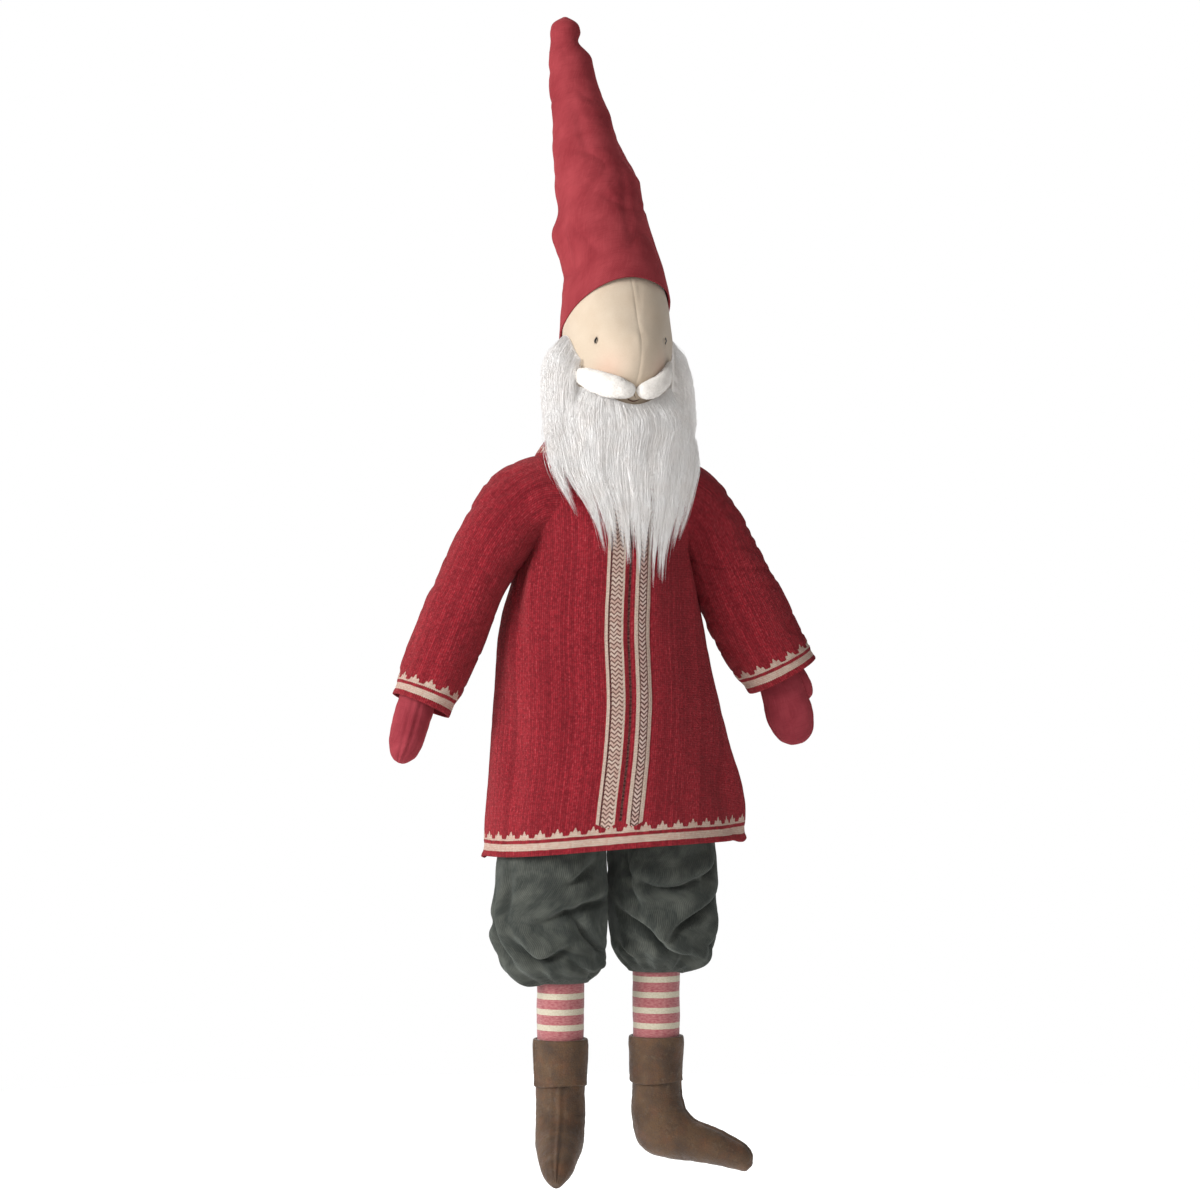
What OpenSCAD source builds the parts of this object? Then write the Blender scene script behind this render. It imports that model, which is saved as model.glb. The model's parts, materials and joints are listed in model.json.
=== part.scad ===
// A soft tomte doll: stuffed cloth body, head and limbs, wool beard, linen hat, knitted coat, gathered
// knickerbockers and leather boots. It is worked out in a frame whose Z starts at the lowest toe and whose
// X runs to the doll's own left; it faces -Y. The finished part has its origin between the shoulder blades.

/* [Whole doll] */
// Height from the lowest toe to the tip of the hat
doll_h = 900; // [450:50:1200]

/* [Pose at rest] */
// Angle between each arm and the vertical
splay = 24; // [22:1:35]
// Angle by which the left foot is turned outwards
foot_out_left = 71; // [0:1:85]
// Angle by which the right foot is turned outwards
foot_out_right = 19; // [0:1:85]

/* [Clothes] */
// Half width of the coat at its hem
hem_half_w = 103; // [98:1:112]
// Half depth of the coat at its hem
hem_half_d = 72; // [66:1:80]
// Height of the coat's hem above the toe
hem_z = 250; // [235:1:265]
// Thickness of the knitted cloth
knit_t = 2.0; // [1.5:0.1:2.5]
// Thickness of the woven cloth
cloth_t = 1.2; // [0.8:0.1:1.4]
// Length of a sleeve from the shoulder joint to its edge
sleeve_l = 170; // [160:1:172]

/* [Legs and boots] */
// Radius of a stuffed leg
leg_r = 17.7; // [17:0.1:18.2]
// Thickness of the leather
leather_t = 1.0; // [0.8:0.1:1.2]
// Height of the folded cuff
cuff_h = 34; // [28:1:40]
// How far the left trouser leg is pulled up
pulled_left = 9; // [0:1:12]
// How far the right trouser leg is pulled up
pulled_right = 2; // [0:1:12]

/* [Hidden] */
$fn = 64;

drawn_h = 900;              // height at which the numbers below are drawn
hold = [0, 48.5, 540];      // on the back of the coat between the shoulder blades, where the doll is held
gap = 0.4;                  // clearance between pieces that move past each other
fit = 0.25;                 // clearance between a filling and its cover
sides = 24;                 // sides of a lofted piece

hip = [0, -4, 345];         // middle of the hip hinge
hip_r = 46;                 // radius of the stuffed roll that the hinge turns
hip_half_w = 62;            // half its length
body_bottom = hip[2] + hip_r + gap;
neck_pivot = [0, 0, 575];   // where the head nods
neck_ball_r = 14;
shoulder = [74, 0, 524];    // left shoulder joint; the right one mirrors it
shoulder_r = 27;            // radius of the sleeve's round top
leg_x = 39;                 // a leg's distance from the middle
leg_y = hip[1];
knee_z = 205;               // where the turning shin begins
ankle_z = 71;               // lower edge of the boot's cuff

red = [0.62, 0.13, 0.17];
linen_red = [0.66, 0.20, 0.24];
skin = [0.88, 0.79, 0.67];
wool_white = [0.93, 0.92, 0.90];
grey = [0.33, 0.36, 0.34];
stripe_pink = [0.78, 0.42, 0.45];
leather = [0.34, 0.22, 0.14];
fibre = [0.95, 0.95, 0.93];

// ---- Rings and lofts -------------------------------------------------------------------------------

// A ring is [centre, first half axis, second half axis].
function ring(c, rx, ry) = [c, [rx, 0, 0], [0, ry, 0]];
function grown(r, t) = [r[0], r[1] * (1 + t / norm(r[1])), r[2] * (1 + t / norm(r[2]))];
function all_grown(rings, t) = [for (r = rings) grown(r, t)];
function between(a, b, f) = a * (1 - f) + b * f;
function point_at(r, a) = r[0] + r[1] * cos(a) + r[2] * sin(a);
function points_of(r) = [for (i = [0:sides - 1]) point_at(r, i * 360 / sides)];
// The same rings from the other end.
function turned(rings) = [for (i = [len(rings) - 1:-1:0]) [rings[i][0], rings[i][1], -rings[i][2]]];
function joined(lists) = [for (l = lists) each l];

// Faces of a wall between rows of m points. The rows follow each other from index `from`.
function wall(rows, m, from = 0, inside = false, closed = true) = joined([
    for (k = [0:rows - 2], i = [0:m - (closed ? 1 : 2)])
        let (
            a = from + k * m + i,
            b = from + k * m + (i + 1) % m,
            c = a + m,
            d = b + m
        )
        inside ? [[a, b, c], [b, d, c]] : [[a, c, b], [b, c, d]]
]);
function cap(m, from, last) = last ? [[for (i = [m - 1:-1:0]) from + i]] : [[for (i = [0:m - 1]) from + i]];
function rim(m, out, in, last) = joined([
    for (i = [0:m - 1])
        let (j = (i + 1) % m)
        last ? [[out + i, in + j, out + j], [out + i, in + i, in + j]]
             : [[out + i, out + j, in + j], [out + i, in + j, in + i]]
]);

// A solid through rings.
module loft(rings) {
    n = len(rings);
    polyhedron(
        joined([for (r = rings) points_of(r)]),
        concat(cap(sides, 0, false), wall(n, sides), cap(sides, (n - 1) * sides, true))
    );
}

// A wall of the given thickness inside rings, open at both ends.
module tube(rings, t) {
    n = len(rings);
    inner = n * sides;
    polyhedron(
        joined([for (r = concat(rings, all_grown(rings, -t))) points_of(r)]),
        concat(
            wall(n, sides),
            wall(n, sides, inner, true),
            rim(sides, 0, inner, false),
            rim(sides, (n - 1) * sides, inner + (n - 1) * sides, true)
        )
    );
}

// The inside of a cup's floor, t in from the last ring.
function floor_ring(rings, t) =
    let (a = rings[len(rings) - 1], b = rings[len(rings) - 2], f = t / norm(b[0] - a[0]))
    grown([for (k = [0:2]) between(a[k], b[k], f)], -t);

// A wall inside rings, open at the first ring and closed at the last.
module cup(rings, t) {
    n = len(rings);
    inner_rings = concat(all_grown([for (i = [0:n - 2]) rings[i]], -t), [floor_ring(rings, t)]);
    inner = n * sides;
    polyhedron(
        joined([for (r = concat(rings, inner_rings)) points_of(r)]),
        concat(
            wall(n, sides),
            cap(sides, (n - 1) * sides, true),
            wall(n, sides, inner, true),
            rim(sides, 0, inner, false),
            cap(sides, inner + (n - 1) * sides, false)
        )
    );
}

// A layer t thick outside rings, between the angles [from, to] given for each ring.
module layer(rings, t, spans, steps = 8) {
    n = len(rings);
    m = 2 * (steps + 1);
    function thick(k) = is_list(t) ? t[k] : t;
    function row(k) = concat(
        [for (i = [0:steps])
            point_at(grown(rings[k], thick(k)), between(spans[k][0], spans[k][1], i / steps))],
        [for (i = [steps:-1:0])
            point_at(rings[k], between(spans[k][0], spans[k][1], i / steps))]
    );
    polyhedron(
        joined([for (k = [0:n - 1]) row(k)]),
        concat(layer_cap(steps, 0, false), wall(n, m), layer_cap(steps, (n - 1) * m, true))
    );
}
function layer_cap(steps, from, last) = joined([
    for (i = [0:steps - 1])
        let (a = from + i, b = a + 1, d = from + 2 * steps + 1 - i, c = d - 1)
        last ? [[a, c, b], [a, d, c]] : [[a, b, c], [a, c, d]]
]);

module mirrored_if(right) {
    if (right) mirror([1, 0, 0]) children();
    else children();
}

// ---- Body ------------------------------------------------------------------------------------------

// The coat's outside: height, sideways shift, half width, half depth.
coat_rows = [
    [hem_z, 6, hem_half_w, hem_half_d],
    [290, 5, 101, 70],
    [329, 3, 96, 67],
    [368, 0, 90, 64],
    [body_bottom, -2, 86, 62],
    [420, -4, 82, 60],
    [446, -4, 76, 58],
    [468, -3, 69, 56],
    [490, -1, 60, 54],
    [514, 0, 55, 52],
    [530, 0, 59, 50],
    [546, 0, 65, 47.5],
    [556, 0, 62, 45],
    [566, 0, 54, 41],
    [573, 0, 47, 38]
];
waist_row = 4;              // where the coat bends with the hips
shoulder_row = 11;
last_row = len(coat_rows) - 1;
coat_rings = [for (r = coat_rows) ring([r[1], 0, r[0]], r[2], r[3])];
skirt_rings = [for (i = [0:waist_row]) coat_rings[i]];
bodice_rings = [for (i = [waist_row:last_row]) coat_rings[i]];
function coat_column(k) = [for (r = coat_rows) [r[0], r[k]]];
function coat_ring(z) =
    ring([lookup(z, coat_column(1)), 0, z], lookup(z, coat_column(2)), lookup(z, coat_column(3)));

body_inset = knit_t + 2.5;  // from the coat's outside to the body's cloth
body_rings = concat(
    all_grown([for (i = [waist_row:shoulder_row]) coat_rings[i]], -body_inset),
    [ring([0, 0, 554], 50, 36), ring([0, 0, 560], 26, 24)]
);

module shoulder_sockets() {
    for (s = [-1, 1])
        translate([s * shoulder[0], shoulder[1], shoulder[2]])
            sphere(shoulder_r + gap);
}

module body_fill() color(fibre) difference() {
    loft(all_grown(body_rings, -cloth_t - fit));
    shoulder_sockets();
    translate([0, 0, body_bottom - 1]) cube([300, 300, 2 * (cloth_t + fit + 1)], center = true);
}

module body_cover() color(skin) difference() {
    cup(turned(body_rings), cloth_t);
    shoulder_sockets();
}

module coat_body() color(red) difference() {
    tube(bodice_rings, knit_t);
    shoulder_sockets();
}

module trouser_waist() color(grey)
    tube(
        [for (z = [body_bottom, 420]) grown(coat_ring(z), -body_inset + fit + cloth_t)],
        cloth_t
    );

module waist_elastic() color(fibre)
    tube([for (z = [420.5, 427]) grown(coat_ring(z), -body_inset + fit + cloth_t)], cloth_t);

module neck() color(skin) {
    translate([0, 0, body_rings[len(body_rings) - 1][0][2] + gap])
        cylinder(r = 9, h = 12);
    translate(neck_pivot) sphere(neck_ball_r);
}

// ---- Head ------------------------------------------------------------------------------------------

// Height, shift to the back, half width, half depth.
head_rows = [
    [572, 0, 18, 20],
    [582, -3, 26, 28],
    [594, -8, 35, 38],
    [607, -12, 40, 43],
    [620, -13, 42.5, 46],
    [640, -10, 43, 46],
    [660, -6, 43, 44],
    [680, -1, 41, 41],
    [698, 1, 35, 36],
    [712, 2, 26, 27],
    [722, 3, 13, 14]
];
head_rings = [for (r = head_rows) ring([0, r[1], r[0]], r[2], r[3])];
function head_column(k) = [for (r = head_rows) [r[0], r[k]]];
function head_ring(z) =
    ring([0, lookup(z, head_column(1)), z], lookup(z, head_column(2)), lookup(z, head_column(3)));

module neck_socket() translate(neck_pivot) sphere(neck_ball_r + gap);

module head_fill() color(fibre) difference() {
    loft(all_grown([for (i = [0:len(head_rings) - 2]) head_rings[i]], -cloth_t - fit));
    neck_socket();
}

module head_cover(side) color(skin) difference() {
    cup(head_rings, cloth_t);
    neck_socket();
    translate([-side * 100, 0, 640]) cube([200, 200, 200], center = true);
}

eye_z = 647;
eye_angle = 44;             // round the head, from the middle of the face
eye_r = 1.2;
module eye(side) color([0.08, 0.07, 0.07])
    translate(point_at(grown(head_ring(eye_z), eye_r + 0.1), -90 + side * eye_angle))
        scale([1, 1, 2.2]) sphere(eye_r);

mouth_z = 600;
mouth_arc_r = 9;
mouth_half_angle = 42;
thread_r = 0.7;
module mouth_stitch() color([0.35, 0.2, 0.16])
    translate([0, point_at(grown(head_ring(mouth_z), thread_r + 0.8), -90)[1], mouth_z + mouth_arc_r])
        rotate([90, 0, 0])
            rotate([0, 0, -90 - mouth_half_angle])
                rotate_extrude(angle = 2 * mouth_half_angle)
                    translate([mouth_arc_r, 0]) circle(thread_r);

// One felted roll of the moustache, from the middle of the lip out and up across the cheek.
moustache_steps = 9;
function moustache_ring(side, f) =
    let (
        angle = 7 + 43 * f,
        z = 611 - 4 * sin(180 * f) + 13 * f * f,
        thick = 1.2 + 4.3 * pow(sin(180 * (0.1 + 0.84 * f)), 0.8),
        c = point_at(grown(head_ring(z), 2.4 + thick), -90 + side * angle),
        out = [side * sin(angle), -cos(angle), 0]
    )
    [c, out * thick, [0, 0, side * thick * 1.3]];
module moustache(side) color(wool_white)
    loft([for (i = [0:moustache_steps]) moustache_ring(side, i / moustache_steps)]);

// The wool round the head. Each row: the ring it lies on, its thickness, the angles it spans.
module wool(rows) color(wool_white)
    layer([for (r = rows) r[0]], [for (r = rows) r[1]], [for (r = rows) r[2]], steps = 12);
function front_span(half) = [-90 - half, -90 + half];

module beard() wool([
    [grown(coat_ring(490), 1.2), 4, front_span(24)],
    [grown(coat_ring(514), 1.2), 8, front_span(40)],
    [grown(coat_ring(530), 1.2), 11, front_span(52)],
    [grown(coat_ring(546), 1.2), 13, front_span(56)],
    [grown(coat_ring(556), 1.5), 13, front_span(66)],
    [ring([0, -9, 578], 46, 42), 13, front_span(84)],
    [grown(head_ring(594), 3), 12, front_span(86)]
]);

module whiskers(side) {
    span = side > 0 ? [-32, 24] : [156, 212];
    wool([
        [grown(head_ring(595), 1), 14, span],
        [grown(head_ring(607), 1), 15, span],
        [grown(head_ring(622), 1), 13, span],
        [grown(head_ring(638), 1), 8, span],
        [grown(head_ring(647), 1), 2, span]
    ]);
}

module hair_back() wool([
    [grown(head_ring(590), 1.3), 10, [26, 154]],
    [grown(head_ring(604), 1.3), 12, [26, 154]],
    [grown(head_ring(618), 1.3), 9, [26, 154]],
    [grown(head_ring(627), 1.3), 2, [30, 150]]
]);

// The hat's outside: height, leftward and backward shift, half width, half depth, drop of the ring's back.
hat_rows = [
    [664, 0, 1, 45.2, 44.5, 33],
    [690, 0, 1, 43.4, 42.5, 20],
    [712, -1, 2, 40.5, 39.5, 10],
    [735, -4, 3, 37.5, 36.5, 4],
    [757, -7, 4, 34, 33.5, 0],
    [778, -11, 5, 31, 30.5, 0],
    [800, -15, 7, 27.5, 27, 0],
    [822, -19, 8, 24, 23.5, 0],
    [845, -24, 10, 20.5, 20, 0],
    [868, -28, 11, 16.5, 16, 0],
    [886, -31, 12, 12.5, 12, 0],
    [896, -32, 12, 8, 8, 0],
    [900, -32, 12, 3, 3, 0]
];
hat_rings = [for (r = hat_rows) [[r[1], r[2], r[0]], [r[3], 0, 0], [0, r[4], -r[5]]]];

module hat_cone() color(linen_red) cup(hat_rings, cloth_t);

module hat_fill() color(fibre)
    loft(all_grown([for (i = [3:len(hat_rings) - 2]) hat_rings[i]], -cloth_t - fit));

// ---- Arms ------------------------------------------------------------------------------------------

// Pieces of an arm are drawn hanging straight down from the shoulder joint, then leaned outwards.
arm_r = 15;                 // radius of the stuffed arm at the top
wrist_r = 8.8;
wrist = 160;                // from the shoulder joint to where the mitten begins
hand_l = 57;
stump_r = 10;
ball_r = arm_r + 1.5;       // the arm's rounded top
module on_shoulder(side) translate([side * shoulder[0], shoulder[1], shoulder[2]]) children();
module on_arm(side) on_shoulder(side) rotate([0, -side * splay, 0]) children();
function down_ring(d, rx, ry) = [[0, 0, -d], [rx, 0, 0], [0, -ry, 0]];

// Half width and half depth of a sleeve along its length; the two arms lie flattened different ways.
function sleeve_half(side, f) =
    let (wide = between(22, 32, f), narrow = between(22, 25, f))
    side > 0 ? [wide, narrow] : [narrow, wide];
sleeve_top = 14;
function sleeve_rings(side) = [
    for (f = [0:0.2:1])
        let (h = sleeve_half(side, f))
        down_ring(between(sleeve_top, sleeve_l, f), h[0], h[1])
];

module sleeve(side) color(red) difference() {
    on_arm(side) {
        tube(sleeve_rings(side), knit_t);
        difference() {
            sphere(shoulder_r);
            sphere(shoulder_r - knit_t);
            translate([0, 0, -sleeve_top - 40.2]) cube(80, center = true);
        }
    }
    // The armhole, where the arm is sewn to the body.
    on_shoulder(side) rotate([0, -side * 90, 0]) cylinder(r = 17, h = 60);
}

// The seam that joins arm to body: a short stump along the axis on which the arm swings.
module shoulder_joint(side) {
    stump_in = sqrt(pow(shoulder_r + gap, 2) - pow(stump_r, 2)) - gap;
    stump_out = ball_r + gap;
    color(skin) on_shoulder(side) rotate([0, -side * 90, 0])
        translate([0, 0, stump_out]) cylinder(r = stump_r, h = stump_in - stump_out);
}

// The sewn mitten, flat, with its thumb to one side.
function hand_rings(side, grow) =
    let (flat = side > 0 ? [16.5, 11] : [11, 16.5])
    [for (p = [[0, 0.8], [0.2, 0.9], [0.45, 1], [0.7, 0.98], [0.86, 0.8], [0.95, 0.52], [1, 0.2]])
        down_ring(wrist + hand_l * p[0], flat[0] * p[1] + grow, flat[1] * p[1] + grow)];
function inner_hand(side, inset) =
    [for (r = hand_rings(side, -inset)) if (norm(r[1]) > 2 && norm(r[2]) > 2) r];

module arm_cover(side) color(skin) on_arm(side) difference() {
    union() {
        sphere(ball_r);
        translate([0, 0, -wrist + gap]) cylinder(r1 = wrist_r, r2 = arm_r, h = wrist - gap);
    }
    sphere(ball_r - cloth_t);
    translate([0, 0, -wrist - 1]) cylinder(r1 = wrist_r - cloth_t, r2 = arm_r - cloth_t, h = wrist + 1);
}

module arm_fill(side) color(fibre) on_arm(side) {
    inset = cloth_t + fit;
    sphere(ball_r - inset);
    translate([0, 0, -wrist - 2]) cylinder(r1 = wrist_r - inset - 0.3, r2 = arm_r - inset, h = wrist + 2);
    loft(inner_hand(side, inset));
}

thumb_l = 22;
module thumb(side) {
    out = side > 0 ? [1, 0] : [0, -1];
    hull() {
        translate([out[0] * 13, out[1] * 13, -wrist - 11]) sphere(3.5, $fn = 24);
        translate([out[0] * 18, out[1] * 18, -wrist - 11 - thumb_l * 0.7]) sphere(4.6, $fn = 24);
    }
}
module mitten(side) color(linen_red) on_arm(side) difference() {
    union() {
        loft(hand_rings(side, 0));
        thumb(side);
    }
    loft(inner_hand(side, cloth_t));
    // The opening through which it is stuffed.
    translate([0, 0, -wrist - 2]) cylinder(r = wrist_r - cloth_t, h = 4);
}

// ---- Lap: the stuffed roll between body and legs, with the skirt of the coat over it -------------------

// A roll along X with bevelled ends.
module roll(r, half_w, end = 16) translate(hip) rotate([0, 90, 0]) {
    cylinder(r = r, h = 2 * (half_w - end), center = true);
    for (s = [0, 1]) mirror([0, 0, s])
        translate([0, 0, half_w - end]) cylinder(r1 = r, r2 = r - end, h = end);
}

module seat_fill() color(fibre) roll(hip_r - cloth_t - fit, hip_half_w - cloth_t - fit);

module trouser_seat() color(grey) difference() {
    roll(hip_r, hip_half_w);
    roll(hip_r - cloth_t, hip_half_w - cloth_t);
    // The opening through which the roll is stuffed, hidden under the body.
    translate([0, hip[1], hip[2]]) cylinder(r = 10, h = 60);
}

module coat_skirt() color(red) difference() {
    tube(skirt_rings, knit_t);
    translate([0, 0, body_bottom + 50 - gap]) cube([400, 400, 100], center = true);
}

// ---- Legs ------------------------------------------------------------------------------------------

module on_leg(side) mirrored_if(side < 0) translate([leg_x, leg_y, 0]) children();

// One puffed trouser leg at its lowest, gathered under the knee: height, outward shift, half width, half depth.
trouser_rows = [
    [330, 3, 33, 38],
    [300, 5, 38, 40],
    [250, 6, 41, 41],
    [210, 6, 42, 40],
    [175, 5, 41, 38],
    [158, 3, 36, 34],
    [150, 1, 27, 26],
    [148, 0, 20.4, 20.4]
];
bag_top = 210;              // pulling a trouser leg up moves only what lies below this height
trouser_edge = 148;
elastic_z = 152;
function pulled_up(z, side) =
    let (rise = side > 0 ? pulled_left : pulled_right)
    z + rise * max(0, bag_top - z) / (bag_top - trouser_edge);
function trouser_ring(r, side) = [[r[1], 0, pulled_up(r[0], side)], [r[2], 0, 0], [0, -r[3], 0]];

module hip_clearance() translate(hip) rotate([0, 90, 0])
    cylinder(r = hip_r + gap, h = 300, center = true);

module trouser_leg(side) color(grey) difference() {
    on_leg(side) tube([for (r = trouser_rows) trouser_ring(r, side)], cloth_t);
    hip_clearance();
}

module knee_elastic(side) color(fibre) on_leg(side) translate([0, 0, pulled_up(elastic_z, side)]) difference() {
    cylinder(r = 22, h = 4);
    translate([0, 0, -1]) cylinder(r = leg_r + 1, h = 6);
}

module thigh_cover(side) color(stripe_pink) difference() {
    on_leg(side) translate([0, 0, knee_z + gap]) difference() {
        cylinder(r = leg_r, h = 130);
        translate([0, 0, cloth_t]) cylinder(r = leg_r - cloth_t, h = 140);
    }
    hip_clearance();
}

module thigh_fill(side) color(fibre) difference() {
    on_leg(side) translate([0, 0, knee_z + gap + cloth_t + fit])
        cylinder(r = leg_r - cloth_t - fit, h = 120);
    hip_clearance();
}

boot_top = ankle_z + cuff_h;
shin_bottom = boot_top - 12;
shin_l = knee_z - shin_bottom;
module stocking(side) color(stripe_pink) on_leg(side) translate([0, 0, shin_bottom]) difference() {
    cylinder(r = leg_r, h = shin_l);
    translate([0, 0, -1]) cylinder(r = leg_r - cloth_t, h = shin_l + 1 - cloth_t);
}

module shin_fill(side) color(fibre) on_leg(side) translate([0, 0, shin_bottom])
    cylinder(r = leg_r - cloth_t - fit, h = shin_l - cloth_t - fit);

// The boot in profile, from the shaft to the toe: the point at the heel side, the point at the instep side
// (each forward and up), and the half width there.
boot_rows = [
    [[-18.8, 100], [18.8, 100], 18.8],
    [[-18.8, 68], [18.8, 68], 18.8],
    [[-18.2, 52], [20.5, 56], 19.3],
    [[-17.5, 38], [23, 48.5], 19.5],
    [[-15.5, 27.5], [28, 42.5], 19],
    [[-11, 20.5], [36, 38.3], 18.5],
    [[-4, 15.6], [45, 34], 17.8],
    [[10, 12.4], [54, 29.5], 16.5],
    [[30, 9], [63, 25], 14.5],
    [[50, 5.2], [70.5, 20.5], 12],
    [[63, 2.4], [75, 14], 8.5],
    [[69.5, 0.5], [75.3, 7.5], 4]
];
// Forward is -Y before the foot is turned out.
function boot_ring(r) =
    let (heel = [0, -r[0][0], r[0][1]], instep = [0, -r[1][0], r[1][1]])
    [(heel + instep) / 2, (instep - heel) / 2, [-r[2], 0, 0]];
boot_rings = [for (r = boot_rows) boot_ring(r)];

module on_foot(side) {
    turn_out = side > 0 ? foot_out_left : foot_out_right;
    translate([side * leg_x, leg_y, 0]) rotate([0, 0, side * turn_out]) children();
}

boot_in = leg_r + fit;                          // radius inside the boot's shaft
boot_grow = boot_in + leather_t - boot_rows[0][2];  // from the drawn profile to this leg and leather
module boot(side) color(leather) on_foot(side) cup(all_grown(boot_rings, boot_grow), leather_t);

module foot_fill(side) color(fibre) on_foot(side) difference() {
    loft(all_grown([for (i = [0:len(boot_rings) - 2]) boot_rings[i]], boot_grow - leather_t - fit));
    translate([0, 0, shin_bottom - fit + 50]) cube(100, center = true);
}

// The shaft's top, turned down over itself.
module boot_cuff(side) color(leather) on_foot(side) {
    over_boot = boot_in + leather_t + fit;
    translate([0, 0, ankle_z]) difference() {
        cylinder(r1 = over_boot + 1.8, r2 = over_boot + 0.8, h = cuff_h);
        translate([0, 0, -1]) cylinder(r = over_boot, h = cuff_h + 1 - leather_t);
        translate([0, 0, -1]) cylinder(r = boot_in, h = cuff_h + 2);
    }
}

// ---- Placing ---------------------------------------------------------------------------------------

module placed() scale(doll_h / drawn_h) translate(-hold) children();

placed() body_fill();
placed() body_cover();
placed() coat_body();
placed() trouser_waist();
placed() waist_elastic();
placed() neck();
placed() head_fill();
placed() head_cover(1);  // head_cover_left
placed() head_cover(-1);  // head_cover_right
placed() eye(1);  // eye_left
placed() eye(-1);  // eye_right
placed() mouth_stitch();
placed() moustache(1);  // moustache_left
placed() moustache(-1);  // moustache_right
placed() beard();
placed() whiskers(1);  // whiskers_left
placed() whiskers(-1);  // whiskers_right
placed() hair_back();
placed() hat_cone();
placed() hat_fill();
placed() shoulder_joint(1);  // shoulder_joint_left
placed() shoulder_joint(-1);  // shoulder_joint_right
placed() sleeve(1);  // sleeve_left
placed() sleeve(-1);  // sleeve_right
placed() arm_cover(1);  // arm_cover_left
placed() arm_cover(-1);  // arm_cover_right
placed() arm_fill(1);  // arm_fill_left
placed() arm_fill(-1);  // arm_fill_right
placed() mitten(1);  // mitten_left
placed() mitten(-1);  // mitten_right
placed() seat_fill();
placed() trouser_seat();
placed() coat_skirt();
placed() trouser_leg(1);  // trouser_leg_left
placed() trouser_leg(-1);  // trouser_leg_right
placed() knee_elastic(1);  // knee_elastic_left
placed() knee_elastic(-1);  // knee_elastic_right
placed() thigh_cover(1);  // thigh_cover_left
placed() thigh_cover(-1);  // thigh_cover_right
placed() thigh_fill(1);  // thigh_fill_left
placed() thigh_fill(-1);  // thigh_fill_right
placed() stocking(1);  // stocking_left
placed() stocking(-1);  // stocking_right
placed() shin_fill(1);  // shin_fill_left
placed() shin_fill(-1);  // shin_fill_right
placed() boot(1);  // boot_left
placed() boot(-1);  // boot_right
placed() boot_cuff(1);  // boot_cuff_left
placed() boot_cuff(-1);  // boot_cuff_right
placed() foot_fill(1);  // foot_fill_left
placed() foot_fill(-1);  // foot_fill_right
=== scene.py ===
"""Looks of the cloth gnome doll: knitted coat, linen hat and mittens, wool beard, needlecord trousers.

Shapes are worked out in the drawing's millimetres: z rises from the lowest toe, the doll faces -y and its
own left is +x. to_frame() turns them into the frame's metres.
"""

import json
import math

import bpy
import numpy as np
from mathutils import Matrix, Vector, noise

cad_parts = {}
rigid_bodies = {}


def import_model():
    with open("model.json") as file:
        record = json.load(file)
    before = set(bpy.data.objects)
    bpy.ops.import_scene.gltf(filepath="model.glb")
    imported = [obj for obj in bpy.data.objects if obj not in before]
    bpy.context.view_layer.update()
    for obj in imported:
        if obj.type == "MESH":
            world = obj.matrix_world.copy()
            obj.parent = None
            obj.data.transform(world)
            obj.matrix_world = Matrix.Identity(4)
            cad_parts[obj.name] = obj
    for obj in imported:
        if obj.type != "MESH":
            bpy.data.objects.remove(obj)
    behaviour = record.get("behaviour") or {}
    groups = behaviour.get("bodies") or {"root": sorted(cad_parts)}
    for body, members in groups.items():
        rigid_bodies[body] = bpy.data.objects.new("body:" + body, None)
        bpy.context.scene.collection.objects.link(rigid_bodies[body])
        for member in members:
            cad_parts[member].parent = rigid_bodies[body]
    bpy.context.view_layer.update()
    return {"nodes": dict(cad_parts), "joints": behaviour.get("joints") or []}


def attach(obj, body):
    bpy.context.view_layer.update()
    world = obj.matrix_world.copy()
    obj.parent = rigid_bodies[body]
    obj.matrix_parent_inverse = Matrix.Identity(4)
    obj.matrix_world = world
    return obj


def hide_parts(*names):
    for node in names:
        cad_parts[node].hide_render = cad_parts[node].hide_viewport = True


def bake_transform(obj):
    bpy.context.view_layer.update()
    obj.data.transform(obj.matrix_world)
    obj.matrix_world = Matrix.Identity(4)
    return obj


for leftover in list(bpy.data.objects):
    bpy.data.objects.remove(leftover)

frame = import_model()
nodes = frame["nodes"]
pivot = {joint["name"]: Vector(joint["pos_m"]) for joint in frame["joints"]}

MM = 0.001
HIP_HEIGHT = 345                    # of the sit joint above the toes, and how far it lies forward
HIP_FORWARD = 4
HIP = pivot["sit"]
ZERO = np.array([0, HIP.y + HIP_FORWARD * MM, HIP.z - HIP_HEIGHT * MM])
SIDES = {"left": 1, "right": -1}
SIDE_NAMES = {side: name for name, side in SIDES.items()}
FORWARD = np.array([0, -1.0, 0])
rng = np.random.default_rng(7)


# ---- Mesh making -----------------------------------------------------------------------------------

def to_frame(points):
    """Points in the drawing's mm as metres in the frame."""
    return np.asarray(points, float) * MM + ZERO


def at(x, y, z):
    return Vector(to_frame((x, y, z)))


def curve(table, keys):
    """Smooth values of a table's columns at the keys. The first column is the key, and it rises."""
    table = np.asarray(table, float)
    key, value = table[:, 0], table[:, 1:]
    keys = np.clip(np.asarray(keys, float), key[0], key[-1])
    slope = np.gradient(value, key, axis=0)
    k = np.clip(np.searchsorted(key, keys) - 1, 0, len(key) - 2)
    step = (key[k + 1] - key[k])[..., None]
    t = (keys - key[k])[..., None] / step
    return (
        (2 * t**3 - 3 * t**2 + 1) * value[k]
        + (t**3 - 2 * t**2 + t) * step * slope[k]
        + (3 * t**2 - 2 * t**3) * value[k + 1]
        + (t**3 - t**2) * step * slope[k + 1]
    )


def level(table, keys):
    """One column of curve()."""
    return curve(table, keys)[..., 0]


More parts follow.
